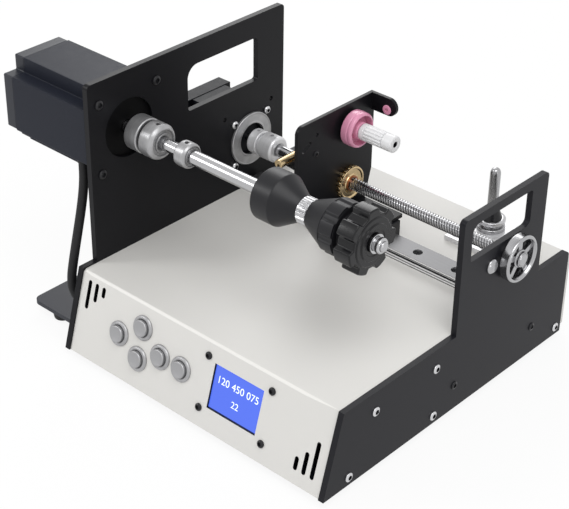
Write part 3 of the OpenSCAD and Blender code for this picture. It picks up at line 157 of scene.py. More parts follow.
def clear_picks():
    """Leaves edit mode and deselects everything."""
    if bpy.context.object and bpy.context.object.mode != "OBJECT":
        bpy.ops.object.mode_set(mode="OBJECT")
    bpy.ops.object.select_all(action="DESELECT")


def only(obj):
    """Makes one object the selected and active one."""
    clear_picks()
    obj.select_set(True)
    bpy.context.view_layer.objects.active = obj
    return obj


def linked(name, data):
    """A new object in the scene."""
    obj = bpy.data.objects.new(name, data)
    bpy.context.scene.collection.objects.link(obj)
    return obj


def named(name):
    """Names the primitive that was just added."""
    obj = bpy.context.object
    obj.name = obj.data.name = name
    return obj


def edit(obj, picks="SELECT"):
    """Enters edit mode on one object with all or nothing selected."""
    only(obj)
    bpy.ops.object.mode_set(mode="EDIT")
    bpy.ops.mesh.select_all(action=picks)


def done():
    """Leaves edit mode."""
    bpy.ops.object.mode_set(mode="OBJECT")


def eased(points, radius, steps):
    """Rounds the corners of a profile; a third number in a point is its own radius."""
    out = [points[0][:2]]
    for before, here, after in zip(points, points[1:], points[2:]):
        own = here[2] if len(here) > 2 else radius
        p0, p1, p2 = (Vector(p[:2]) for p in (before, here, after))
        l0, l1 = (p0 - p1).length, (p2 - p1).length
        if own <= 0 or l0 < 1e-6 or l1 < 1e-6:
            out.append(tuple(p1))
            continue
        reach = min(own, l0 * 0.45, l1 * 0.45)
        a, b = p1 + (p0 - p1) * reach / l0, p1 + (p2 - p1) * reach / l1
        for k in range(steps + 1):
            t = k / steps
            q = a * (1 - t) ** 2 + p1 * 2 * t * (1 - t) + b * t * t
            out.append((q.x, q.y))
    out.append(points[-1][:2])
    return out


def lathe(name, centre, corners, ease=0.3, arc=3, along=X_AXIS, steps=64):
    """Spins (station, radius[, easing]) corners in mm round the line through centre.

    A profile that starts off the axis is closed.
    """
    out = Z_AXIS if along != Z_AXIS else X_AXIS
    ends = corners[:1] if corners[0][1] > 0 else []
    profile = eased(corners + ends, ease, arc)
    points = [centre + along * (a * MM) + out * (r * MM) for a, r in profile]
    clear_picks()
    bpy.ops.mesh.primitive_plane_add(size=MM, location=points[0])
    obj = named(name)
    edit(obj)
    bpy.ops.mesh.merge(type="CENTER")
    for here, there in zip(points, points[1:]):
        bpy.ops.mesh.extrude_region_move(TRANSFORM_OT_translate={"value": there - here})
    bpy.ops.mesh.select_all(action="SELECT")
    bpy.ops.mesh.spin(steps=steps, angle=2 * math.pi, center=centre, axis=along)
    bpy.ops.mesh.select_all(action="SELECT")
    bpy.ops.mesh.remove_doubles(threshold=2e-7)
    bpy.ops.mesh.normals_make_consistent(inside=False)
    done()
    return baked(obj)


def ring(name, centre, x0, x1, outer, inner, ease=0.25, steps=64):
    """A ring along X between two stations in mm."""
    corners = [(x0, inner), (x0, outer), (x1, outer), (x1, inner, ease * 0.6)]
    return lathe(name, centre, corners, ease, 2, steps=steps)


def baked(obj):
    """Puts an object's place, turn and size into its mesh."""
    only(obj)
    bpy.ops.object.transform_apply(location=True, rotation=True, scale=True)
    return obj


def with_modifier(obj, kind, **settings):
    """Adds one modifier and applies it."""
    only(obj)
    modifier = obj.modifiers.new(kind.title(), kind)
    for key, value in settings.items():
        setattr(modifier, key, value)
    bpy.ops.object.modifier_apply(modifier=modifier.name)
    return obj


def soft_edges(obj, width, segments=2, angle=30):
    """Rounds the edges that are sharper than angle."""
    limit = {"limit_method": "ANGLE", "angle_limit": math.radians(angle)}
    return with_modifier(obj, "BEVEL", width=width * MM, segments=segments, **limit)


def carve(obj, *cutters, **settings):
    """Cuts closed shapes out of a piece and removes them."""
    for cutter in cutters:
        with_modifier(obj, "BOOLEAN", solver="EXACT", object=cutter, **settings)
        bpy.data.objects.remove(cutter)
    return obj


def joined(name, *parts):
    """Joins several parts into one piece."""
    clear_picks()
    for part in parts:
        part.select_set(True)
    bpy.context.view_layer.objects.active = parts[0]
    if len(parts) > 1:
        bpy.ops.object.join()
    return named(name)


def prism(name, x0, x1, centre, radius, sides, along=X_AXIS):
    """A straight prism between two stations along an axis."""
    clear_picks()
    lean = (0, math.pi / 2, 0) if along == X_AXIS else (0, 0, 0)
    bpy.ops.mesh.primitive_cylinder_add(
        vertices=sides,
        radius=radius * MM,
        depth=(x1 - x0) * MM,
        location=centre + along * ((x0 + x1) / 2 * MM),
        rotation=lean,
    )
    return baked(named(name))


def set_hole(axis, x, depth, radius):
    """A cutter for the hole of a set screw, from an axis along X upwards."""
    return prism("set_hole", 0, depth, axis + X_AXIS * (x * MM), radius, 20, Z_AXIS)


def toothed(name, x0, x1, centre, radius, teeth, per, low, share, ease, bore, phase=0.0):
    """A bored disc along X whose rim is drawn in between its teeth.

    The rim has a number of corners per tooth; between the teeth, which take a share of
    it, it comes in to a low part of its radius. Ease is for soft_edges, bore is the
    radius and the corners of the bore.
    """
    obj = prism(name, x0, x1, centre, radius, teeth * per)
    mesh = obj.data
    picks = []
    for vertex in mesh.vertices:
        turn = math.atan2(vertex.co.y - centre.y, vertex.co.z - centre.z)
        step = (turn / (2 * math.pi) * teeth + phase) % 1.0
        picks.append(abs(step - 0.5) > share / 2 + 1e-4)
    mesh.polygons.foreach_set("select", [False] * len(mesh.polygons))
    mesh.edges.foreach_set("select", [False] * len(mesh.edges))
    mesh.vertices.foreach_set("select", picks)
    bpy.ops.object.mode_set(mode="EDIT")
    bpy.ops.mesh.select_mode(type="VERT")
    bpy.ops.transform.resize(value=(1, low, low), center_override=centre)
    done()
    return carve(soft_edges(obj, *ease), prism("bore", x0 - 1, x1 + 1, centre, *bore))


def softened(node, width, segments=2):
    """A copy of a CAD node, merged, with its edges rounded by a width in mm."""
    obj = linked(node + "_piece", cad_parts[node].data.copy())
    obj.data.materials.clear()
    edit(obj)
    bpy.ops.mesh.remove_doubles(threshold=1e-6)
    bpy.ops.mesh.dissolve_limited(angle_limit=math.radians(0.6))
    done()
    return soft_edges(obj, width, segments) if width > 0 else obj


def bent(cover, reach):
    """Rounds the outer crease between the sloped front and the deck."""
    edit(cover, "DESELECT")
    bpy.ops.mesh.select_mode(type="EDGE")
    done()
    for edge in cover.data.edges:
        ends = [cover.data.vertices[i].co - ORIGIN for i in edge.vertices]
        edge.select = all(math.hypot(end.y, end.z) < 0.1 * MM for end in ends)
    bpy.ops.object.mode_set(mode="EDIT")
    bpy.ops.mesh.bevel(offset=reach * MM, segments=5, affect="EDGES")
    bpy.ops.mesh.select_mode(type="VERT")
    done()


def stamped(name, master, places):
    """Copies a master to every place and joins the copies; the master goes."""
    copies = []
    for place in places:
        only(master)
        bpy.ops.object.duplicate(linked=False)
        copy = bpy.context.object
        copy.matrix_world = place
        copies.append(baked(copy))
    bpy.data.objects.remove(master)
    return joined(name, *copies)


def facing(point, direction):
    """A place at a point whose Z looks along a direction."""
    turn = Vector(direction).to_track_quat("Z", "Y").to_matrix().to_4x4()
    return Matrix.Translation(point) @ turn


def on_panel(x, v, lift=0.0):
    """A place on the sloped front, Z outwards and Y up the slope."""
    point = at(x, -SLOPE_RUN * v / SLOPE_L, -BODY_H * v / SLOPE_L)
    turn = Matrix.Rotation(math.pi / 2 - LEAN, 4, "X")
    return Matrix.Translation(point) @ turn @ Matrix.Translation((0, 0, lift * MM))


def on_plates(spots):
    """Places on the outer faces of both side plates, the right plate's first."""
    right = [facing(at(INNER_W + PLATE_T, y, z), X_AXIS) for y, z in spots]
    return right + [facing(at(-PLATE_T, y, z), -X_AXIS) for y, z in spots]


def quad(dx, dy):
    """The corners of a rectangle round the origin, from its half sizes."""
    return [(a * dx, b * dy) for a in (-1, 1) for b in (-1, 1)]


def dressed(obj, body, finish, slot, *nodes, smooth=35):
    """Gives a piece its shading, finish and body and hides the CAD nodes it replaces; slot is
    not used.
    """
    baked(obj)
    bpy.ops.object.shade_smooth_by_angle(angle=math.radians(smooth))
    with_modifier(obj, "WEIGHTED_NORMAL", weight=90, keep_sharp=True)
    if not obj.data.materials:
        obj.data.materials.append(None)
    obj.data.materials[0] = FINISHES[finish]
    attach(obj, body)
    if nodes:
        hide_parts(*nodes)
    return obj


def dressed_node(node, ease, segments, body, finish, slot):
    """Rounds the edges of a CAD node's copy and dresses it in the node's place."""
    return dressed(softened(node, ease, segments), body, finish, slot, node)


def faces_painted_light(obj, chosen, finish="dark_steel"):
    """Paints light or shade on the faces that a test chooses with another finish, near-black
    painted shade by default.
    """
    obj.data.materials.append(FINISHES[finish])
    slot = len(obj.data.materials) - 1
    for face in obj.data.polygons:
        if chosen(face):
            face.material_index = slot


def panel_cut(face):
    """Whether a face is the cut edge of an opening in the sloped front."""
    flatten = on_panel(0, 0).inverted()
    centre = (flatten @ face.center) / MM
    lean = abs((flatten.to_3x3() @ face.normal).z)
    inside = 3 < centre.x < INNER_W - 3 and 4 - SLOPE_L < centre.y < -4
    return inside and abs(centre.z) < 3 and lean < 0.6


def top_bend(face):
    """Whether a face is part of the bend between the sloped front and the deck."""
    away = face.center - ORIGIN
    return math.hypot(away.y, away.z) < 2.2 * MM and 0.4 < face.normal.z < 0.97


def bored(axis, radius, start):
    """A test for the faces of a bore round an axis along X, past a place."""

    def inside(face):
        off = face.center - axis
        return math.hypot(off.y, off.z) < radius * MM and off.x > start * MM

    return inside


def refinished(node, finish):
    """Gives a carried-over CAD node a procedural finish."""
    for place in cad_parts[node].material_slots:
        place.material = FINISHES[finish]


# --- finishes


def operation(kind, swapped=False):
    """A method of a Wire that adds one Math node."""

    def method(self, other=0.0, **settings):
        first, second = (other, self) if swapped else (self, other)
        values = {0: first, 1: second}
        return self.finish.node("Math", values, operation=kind, **settings)

    return method


class Wire:
    """A shader socket that takes part in Python sums."""

    def __init__(self, finish, socket):
        self.finish, self.socket = finish, socket

    __add__ = plus = operation("ADD")
    __rsub__ = operation("SUBTRACT", swapped=True)
    __mul__ = operation("MULTIPLY")
    __truediv__ = operation("DIVIDE")
    __gt__ = operation("GREATER_THAN")
    __lt__ = operation("LESS_THAN")
    __abs__ = operation("ABSOLUTE")
    most = operation("MAXIMUM")
    # the part after the point, so that a value repeats
    wrapped = operation("FRACT")


class Finish:
    """A material, or the world, under construction."""

    def __init__(self, name, family="materials"):
        self.owner = getattr(bpy.data, family).new(name)
        self.owner.use_nodes = True
        self.tree = self.owner.node_tree
        self.tree.nodes.clear()

    def node(self, kind, values=None, out=0, **settings):
        """One shader node with its settings, and its values or links by socket."""
        node = self.tree.nodes.new("ShaderNode" + kind)
        for key, value in settings.items():
            setattr(node, key, value)
        for key, value in (values or {}).items():
            if isinstance(key, int):
                socket = node.inputs[key]
            else:
                socket = next(s for s in node.inputs if key in (s.identifier, s.name))
            if isinstance(value, Wire):
                self.tree.links.new(value.socket, socket)
            elif socket.type == "RGBA" and len(value) == 3:
                socket.default_value = (*value, 1.0)
            else:
                socket.default_value = value
        return Wire(self, node.outputs[out])

    def place(self, centre=(0, 0, 0), stretch=(1, 1, 1)):
        """Object coordinates in metres from a centre, stretched."""
        raw = self.node("TexCoord", out="Object")
        shift = [-c * k for c, k in zip(centre, stretch)]
        return self.node("Mapping", {"Vector": raw, "Location": shift, "Scale": stretch})

    def parts(self, vector):
        """The three numbers of a vector."""
        first = self.node("SeparateXYZ", {0: vector})
        return [Wire(self, s) for s in first.socket.node.outputs]

    def noise(self, place, scale, detail=2.0, rough=0.5):
        """Soft random values from 0 to 1."""
        values = {"Vector": place, "Scale": scale, "Detail": detail, "Roughness": rough}
        return self.node("TexNoise", values)

    def blend(self, first, second, mask):
        """Mixes two colours by a mask."""
        values = {"Factor_Float": mask, "A_Color": first, "B_Color": second}
        return self.node("Mix", values, out=2, data_type="RGBA")

    def tones(self, colour, low, high, mask):
        """A colour made darker and lighter by a mask."""
        return self.blend(times(colour, low), times(colour, high), mask)

    def bump(self, height, strength, depth):
        """A normal from a height, depth in mm."""
        values = {"Strength": strength, "Distance": depth * MM, "Height": height}
        return self.node("Bump", values)

    def rays(self):
        """Whether a ray is a camera, glossy or transmission one."""
        path = self.tree.nodes.new("ShaderNodeLightPath")
        kinds = ("Camera", "Glossy", "Transmission")
        return [Wire(self, path.outputs["Is %s Ray" % kind]) for kind in kinds]

    def surface(self, **values):
        """Closes the material with one Principled shader."""
        names = {key.replace("_", " ").title(): v for key, v in values.items()}
        names = {key.replace("Ior", "IOR"): v for key, v in names.items()}
        return self.closed(self.node("BsdfPrincipled", names))

    def closed(self, shader, output="ShaderNodeOutputMaterial"):
        """Links a shader to the output and gives the material or world."""
        end = self.tree.nodes.new(output)
        self.tree.links.new(shader.socket, end.inputs["Surface"])
        return self.owner


def times(colour, factor):
    """A colour made lighter or darker."""
    return tuple(min(1.0, c * factor) for c in colour)


def powder_coat(name, colour, rough, grain, spread=0.04, gloss=0.5):
    """Baked powder paint with a fine orange peel."""
    f = Finish(name)
    place = f.place()
    clouds = f.noise(place, 22.0, 3.0)
    peel = f.noise(place, grain, 2.0, 0.55)
    dust = f.noise(place, grain * 3.1, 1.0)
    tone = f.tones(colour, 1 - spread, 1 + spread, clouds)
    tone = f.blend(tone, times(colour, 1 + spread * 3), (dust > 0.72) * 0.25)
    return f.surface(
        base_color=tone,
        roughness=clouds * 0.06 + peel * 0.05 + (rough - 0.055),
        normal=f.bump(peel, 0.18, 0.04),
        specular_ior_level=gloss,
    )


def turned_metal(
    name, colour, rough, centre=None, along=0, grain=2600.0, metallic=1.0, contrast=1.0
):
    """Metal with fine tool marks round an axis."""
    f = Finish(name)
    stretch = [30.0, 30.0, 30.0]
    stretch[along] = grain
    marks = f.noise(f.place(centre or (0, 0, 0), stretch), 1.0, 3.0, 0.6)
    haze = f.noise(f.place(), 160.0, 2.0)
    tone = f.tones(colour, 1 - 0.16 * contrast, 1 + 0.1 * contrast, marks)
    tone = f.blend(tone, times(colour, 1 - 0.2 * contrast), haze * 0.35 * contrast)
    return f.surface(
        base_color=tone,
        metallic=metallic,
        roughness=marks * 0.10 + haze * 0.06 + (rough - 0.08),
        normal=f.bump(marks, 0.06, 0.01),
    )


def cast_metal(name, colour, rough, grain=700.0, metallic=1.0, shine=0.3):
    """Blasted or plated metal without a direction."""
    f = Finish(name)
    grit = f.noise(f.place(), grain, 3.0, 0.6)
    haze = f.noise(f.place(), 90.0, 2.0)
    tone = f.tones(colour, 0.88, 1.08, grit)
    return f.surface(
        base_color=tone,
        metallic=metallic,
        roughness=grit * 0.12 + haze * 0.06 + (rough - 0.09),
        specular_ior_level=shine,
        normal=f.bump(grit, 0.08, 0.02),
    )


def moulded(name, colour, rough, grain=1500.0, spread=0.08, coat=0.0, shine=0.3):
    """Moulded plastic or rubber with a fine texture."""
    f = Finish(name)
    place = f.place()
    skin = f.noise(place, grain, 2.0, 0.6)
    flow = f.noise(place, 60.0, 2.0)
    tone = f.tones(colour, 1 - spread, 1 + spread, flow)
    return f.surface(
        base_color=tone,
        roughness=skin * 0.10 + flow * 0.06 + (rough - 0.08),
        normal=f.bump(skin, 0.12, 0.02),
        specular_ior_level=shine,
        coat_weight=coat,
        coat_roughness=0.12,
    )


def layered_steel(name, colour):
    """Painted motor stack whose sheets show as fine lines along X."""
    f = Finish(name)
    place = f.place()
    x = f.parts(place)[0]
    sheet = (x * 1000.0 / SHEET_PITCH).wrapped()
    line = (sheet < 0.22) * 1.0
    wear = f.noise(place, 240.0, 3.0)
    tone = f.tones(colour, 1.15, 0.7, line * 0.6)
    tone = f.blend(tone, times(colour, 1.5), (wear > 0.66) * 0.3)
    return f.surface(
        base_color=tone,
        roughness=wear * 0.12 + 0.32,
        specular_ior_level=0.10,
        normal=f.bump(line * -1.0 + wear * 0.3, 0.25, 0.05),
    )


def rail_steel(name, colour):
    """Ground rail, painted darker on top, with grooves along its sides painted as dark shade
    between bright painted highlights.
    """
    f = Finish(name)
    deck = at(0, 0, 0).z
    marks = f.noise(f.place((0, 0, 0), (40.0, 900.0, 900.0)), 1.0, 2.0)
    z = f.parts(f.place((0, 0, deck)))[2]
    top = z > RAIL_TOP * MM
    groove_and_painted_shade = (z * (1000.0 / GROOVE_PITCH)).wrapped() < 0.34
    # the sides get painted highlights, with painted shade in the grooves
    side = f.tones(colour, 2.0, 0.2, groove_and_painted_shade)
    # the top is darker, painted shade
    level = f.tones(colour, 0.33, 0.45, marks)
    return f.surface(
        base_color=f.blend(side, level, top),
        metallic=1.0,
        roughness=marks * 0.1 + 0.38,
        normal=f.bump(groove_and_painted_shade * -1.0 + marks * 0.2, 0.3, 0.1),
    )


def lit_display(name, colour):
    """Backlit display with a fine dot grid and a border of painted shade."""
    f = Finish(name)
    x, _y, z = f.parts(f.place())
    across = (x * (1000.0 / 0.6)).wrapped()
    down = (z * (1000.0 / 0.6)).wrapped()
    gaps = 1.0 - (1.0 - (across < 0.16)) * (1.0 - (down < 0.16))
    glow = f.noise(f.place(), 30.0, 1.0)
    dots = f.blend(colour, times(colour, 0.9), gaps * 0.5)
    dots = f.blend(dots, times(colour, 1.12), glow * 0.5)
    away_x, _y, away_z = f.parts(f.place(tuple(on_panel(*DISPLAY).translation)))
    # the field's outermost edge is darkened as painted shade of the window's edge
    rim = (abs(away_x) > FIELD_X * MM).most(abs(away_z) > FIELD_Z * MM)
    dots = f.blend(dots, times(colour, 0.12), rim)
    return f.surface(
        base_color=(0.01, 0.02, 0.08),
        roughness=glow * 0.05 + 0.12,
        emission_color=dots,
        emission_strength=0.9,
    )


def lit_digits(name, colour):
    """Pale lit digits."""
    f = Finish(name)
    glow = f.noise(f.place(), 400.0, 1.0)
    return f.surface(
        base_color=(0.5, 0.55, 0.65),
        roughness=glow * 0.1 + 0.3,
        emission_color=f.blend(times(colour, 0.9), colour, glow),
        emission_strength=0.85,
    )


def circuit_board(name, colour):
    """Solder mask over faint copper tracks."""
    f = Finish(name)
    place = f.place()
    x = f.parts(place)[0]
    tracks = ((x * 1000.0 / 2.54).wrapped() < 0.3) * (f.noise(place, 70.0) > 0.5)
    tone = f.blend(colour, times(colour, 1.9), tracks * 0.6)
    return f.surface(
        base_color=tone,
        roughness=f.noise(place, 500.0) * 0.1 + 0.3,
        normal=f.bump(tracks, 0.3, 0.03),
    )


FINISHES = {}


def make_finishes(colours):
    """All finishes of the machine by name."""
    axis = tuple(SPINDLE)
    c = {key: tuple(getattr(colours, key)) for key in colours.__annotations__}
    black = (0.012, 0.012, 0.014)
    FINISHES.update(
        cover=powder_coat("cover_powder_coat", c["cover"], 0.50, 1400, 0.015),
        # a lighter copy of the cover coat for the bend, a painted highlight along the fold
        cover_bend=powder_coat("cover_bend_coat", times(c["cover"], 1.17), 0.50, 1400, 0.015),
        plate=powder_coat("plate_powder_coat", c["plate"], 0.38, 1900, 0.10, 0.13),
        # a darker copy of the plate coat, painted shade for the left plate's inner face and the
        # carriage bracket
        shaded=powder_coat(
            "plate_powder_coat_inner", times(c["plate"], 0.5), 0.36, 1900, 0.10, 0.14
        ),
        tray=powder_coat("tray_powder_coat", times(c["motor"], 1.1), 0.40, 1500, 0.10, 0.30),
        # a near-black copy of the plate coat for the pilot flange, painted shade of the motor's
        # pilot hole
        pit=powder_coat("motor_pilot", times(c["plate"], 0.12), 0.5, 1500, 0.10, 0.1),
        motor=layered_steel("motor_stack", c["motor"]),
        # a darker copy of the motor paint for the traverse motor, painted shade
        small_motor=layered_steel("small_motor_stack", times(c["motor"], 0.3)),
        motor_cast=cast_metal("motor_casting", c["motor"], 0.36, 900, 0),
        moulded=moulded("black_moulding", c["moulded"], 0.38),
        knob=moulded("knob_moulding", times(c["moulded"], 0.5), 0.22, 1100),
        rubber=moulded("rubber", (0.012, 0.012, 0.013), 0.62, 1900),
        steel=turned_metal("ground_steel", c["steel"], 0.24, axis),
        shaft=turned_metal("polished_shaft", times(c["steel"], 1.1), 0.21, axis, 0, 4200),
        post=turned_metal("post_steel", times(c["steel"], 0.9), 0.26, tuple(POST), 2, 4200),
        screw_thread=turned_metal("rolled_thread", c["steel"], 0.18, axis),
        aluminium=turned_metal(
            "turned_aluminium", c["aluminium"], 0.38, axis, 0, 1500, 0.8, 2.6
        ),
        # a lighter copy of the aluminium, painted light for the screw coupling and the post
        # plate
        bright=turned_metal(
            "bright_aluminium", times(c["aluminium"], 1.6), 0.34, axis, 0, 1500, 0.45, 1.6
        ),
        plated=cast_metal("plated_steel", times(c["steel"], 1.45), 0.28, 1600),
        nickel=cast_metal("nickel_plate", times(c["steel"], 1.15), 0.14, 900),
        # near-black steel for dark parts, also used as painted shade in the cover's openings,
        # the nozzle's bore and the screw sockets
        dark_steel=cast_metal("blackened_steel", black, 0.30, 1400, 0),
        ground_rail=rail_steel("ground_rail", c["steel"]),
        brass=turned_metal("turned_brass", c["brass"], 0.24, axis, 0, 1500),
        copper=turned_metal("copper_bush", c["copper"], 0.30, axis),
        pink=moulded("pink_moulding", c["pink"], 0.26, 900, 0.06, 0.5),
        white=moulded("white_moulding", c["white"], 0.34, 900, 0.03, 0.2),
        button=cast_metal("button_metal", times(c["steel"], 0.86), 0.44, 2200),
        display=lit_display("blue_display", c["display"]),
        digits=lit_digits("display_digits", c["digits"]),
        board=circuit_board("circuit_board", c["board"]),
    )


# --- shared pieces


def socket_head(name, across, height, drop=0.55, edge=0.25):
    """A round screw head with a hexagon socket, its seat on Z = 0."""
    r = across / 2
    head = lathe(name, NOWHERE, [
        (0, 0), (0, r, 0.1), (height * 0.55, r), (height, r * 0.62), (height, 0),
    ], ease=edge, along=Z_AXIS, steps=36)
    key = prism("key", height * (1 - drop), height * 1.6, NOWHERE, r * 0.56, 6, Z_AXIS)
    # the socket's faces take the near-black finish as painted shade
    head.data.materials.append(FINISHES["plated"])
    key.data.materials.append(FINISHES["dark_steel"])
    return carve(head, key, material_mode="TRANSFER")


def screws(name, places, across, height, drop=0.55):
    """Socket head screws at every place, joined."""
    return stamped(name, socket_head(name + "_head", across, height, drop), places)


# --- operators


class WINDER_OT_stage(bpy.types.Operator):
    """Camera, soft lights and a plain white floor"""

    bl_idname = "winder.stage"
    bl_label = "Stage"

    def execute(self, context):
        sizes = context.scene.winder_sizes
        camera = bpy.data.cameras.new("photo_camera")
        camera.lens, camera.sensor_width, camera.sensor_fit = sizes.lens, 36.0, "HORIZONTAL"
        camera.clip_start, camera.clip_end = 0.05, 20.0
        eye = linked("photo_camera", camera)
        turn, rise, roll = (math.radians(angle) for angle in CAMERA_ANGLES)
        level = math.cos(rise)
        back = Vector((math.sin(turn) * level, -math.cos(turn) * level, math.sin(rise)))
        right = Vector((math.cos(turn), math.sin(turn), 0))
        up = back.cross(right)
        side = right * math.cos(roll) + up * math.sin(roll)
        top = up * math.cos(roll) - right * math.sin(roll)
        view = Matrix((side, top, back)).transposed().to_4x4()
        eye.matrix_world = Matrix.Translation(CAMERA_PLACE) @ view
        context.scene.camera = eye

        # the world lights the machine less than it shows to the camera and in mirrors
        f = Finish("soft_studio", "worlds")
        straight, glossy, through = f.rays()
        seen = straight.plus(glossy.most(through), use_clamp=True)
        level = f.node("MapRange", {"Value": seen, "To Min": 0.62, "To Max": 1.0})
        sky = f.node("Background", {"Color": (1, 1, 1), "Strength": level})
        context.scene.world = f.closed(sky, "ShaderNodeOutputWorld")

        for name, place, power, size in (
            ("key_light", (0.6, -0.45, 1.4), 10.2, 1.0),
            ("back_light", (-0.85, 0.95, 0.85), 5.2, 0.7),
            ("left_light", (-1.0, -1.0, 0.9), 5.0, 0.35),
            ("low_light", (1.3, -0.5, 0.35), 0.9, 0.35),
        ):
            lamp = bpy.data.lights.new(name, "AREA")
            lamp.energy, lamp.size = power, size
            holder = linked(name, lamp)
            holder.location = place
            aim = (Vector((0, 0, 0.06)) - holder.location).to_track_quat("-Z", "Y")
            holder.rotation_mode = "QUATERNION"
            holder.rotation_quaternion = aim

        clear_picks()
        bpy.ops.mesh.primitive_circle_add(
            vertices=96, radius=6.0, fill_type="NGON", location=(0, 0, -0.0002)
        )
        floor = baked(named("floor"))
        f = Finish("floor_white")
        tone = f.blend((0.90, 0.90, 0.90), (0.92, 0.92, 0.92), f.noise(f.place(), 30.0))
        paint = f.node("BsdfDiffuse", {"Color": tone})
        light = f.node("Emission", {"Color": (1, 1, 1), "Strength": 1.0})
        straight, glossy, through = f.rays()
        share = straight * 0.9 + glossy * 0.85 + through * 0.85
        mixed = f.node("MixShader", {0: share, 1: paint, 2: light})
        floor.data.materials.append(f.closed(mixed))

        context.scene.view_settings.view_transform = "Standard"
        return {"FINISHED"}


class WINDER_OT_cable(bpy.types.Operator):
    """Motor cable from the boot under the motor to the gland on the left plate"""

    bl_idname = "winder.cable"
    bl_label = "Motor cable"

    def execute(self, context):
        thick = context.scene.winder_sizes.cable_thick
        route = [
            (-17, 18.5, 62.6), (-17, 18.5, 61), (-17, 18.3, 52), (-17, 17, 42), (-17, 14.4, 30),
            (-17, 11, 17), (-17, 7.8, 5), (-17.6, 5.6, -6), (-18.3, 4.6, -14),
            (-18.6, 4.4, -21), (-18.2, 4.8, -25), (-16.6, 5.4, -29), (-13.8, 6.2, -32),
            (-10.2, 6.8, -33.7), (-8, 7, -34), (-6.5, 7, -34),
        ]
        points = [at(*p) for p in route]
        # a smooth line through the points, in thirds
        fine = []
        padded = [points[0], *points, points[-1]]
        for p0, p1, p2, p3 in zip(padded, padded[1:], padded[2:], padded[3:]):
            for t in (0, 1 / 3, 2 / 3):
                curved = (2 * p0 - 5 * p1 + 4 * p2 - p3) * t**2
                twisted = (3 * p1 - p0 - 3 * p2 + p3) * t**3
                fine.append(0.5 * (2 * p1 + (p2 - p0) * t + curved + twisted))
        fine.append(points[-1])
        curve = bpy.data.curves.new("motor_cable_line", "CURVE")
        curve.dimensions = "3D"
        curve.bevel_depth = thick / 2 * MM
        curve.bevel_resolution = 6
        curve.use_fill_caps = True
        spline = curve.splines.new("POLY")
        spline.points.add(len(fine) - 1)
        for place, point in zip(spline.points, fine):
            place.co = (*point, 1)
        cable = linked("motor_cable_line", curve)
        cable.data.materials.append(FINISHES["rubber"])
        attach(cable, "base")
        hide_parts("motor_cable")

        boot = lathe("cable_boot", at(-17, 18.5, 0), [
            (62.62, 3), (62.62, 3.6, 0.4), (64.9, 3.9), (64.98, 3),
        ], along=Z_AXIS, steps=32)
        gland = lathe("cable_gland", at(0, 7, -34), [
            (-6.4, 0), (-6.4, 3.4, 0.3), (-5.6, 4.4, 0.4), (-4, 4.5), (-4, 3), (1.2, 3),
            (1.2, 0),
        ], ease=0.2, steps=32)
        dressed(joined("cable_ends", boot, gland), "base", "rubber", "rubber", "cable_glands")
        return {"FINISHED"}


class WINDER_OT_cabinet(bpy.types.Operator):
    """Cover, side plates, outrigger and feet"""

    bl_idname = "winder.cabinet"
    bl_label = "Cabinet"

    def execute(self, context):
        sizes = context.scene.winder_sizes
        cover = softened("cabinet_cover", 0)
        bent(cover, sizes.bend_reach)
        soft_edges(cover, sizes.sheet_ease, 3)
        dressed(cover, "base", "cover", "cover_ivory", "cabinet_cover")
        # the cut edges of the front's openings are near-black as painted shade
        faces_painted_light(cover, panel_cut)
        # the bend between the front and the deck takes the lighter copy as a painted highlight
        faces_painted_light(cover, top_bend, "cover_bend")
        # the left plate takes the darker copy of the plate coat as painted shade
        for node, finish in (("left_side_plate", "shaded"), ("right_side_plate", "plate")):
            dressed_node(node, sizes.plate_ease, 3, "base", finish, "plate_black")
        dressed_node("outrigger_plate", sizes.plate_ease, 2, "base", "tray", "plate_black")

        feet = []
        under_pan = [(x, y, 5.0) for x in (15.4, 123.62) for y in (15.4, 194.3)]
        under_outrigger = [(-37.4, 10.4, 6.2), (-37.4, 100.8, 6.2)]
        for x, y, tall in under_pan + under_outrigger:
            foot = lathe("foot", Vector((ORIGIN.x + x * MM, ORIGIN.y + y * MM, 0)), [
                (0, 0), (0.9, 0), (0.9, 2.2, 0.2), (0, 3, 0.2), (0, 5.95, 0.5), (tall, 7),
                (tall, 0),
            ], along=Z_AXIS, steps=40)
            feet.append(foot)
        dressed(joined("machine_feet", *feet), "base", "rubber", "rubber", "rubber_feet")

        for node, finish in (
            ("base_pan", "tray"),
            ("spacer_bars", "dark_steel"),
            ("power_inlet", "moulded"),
            ("control_board", "board"),
            ("stepper_driver", "dark_steel"),
        ):
            refinished(node, finish)
        return {"FINISHED"}


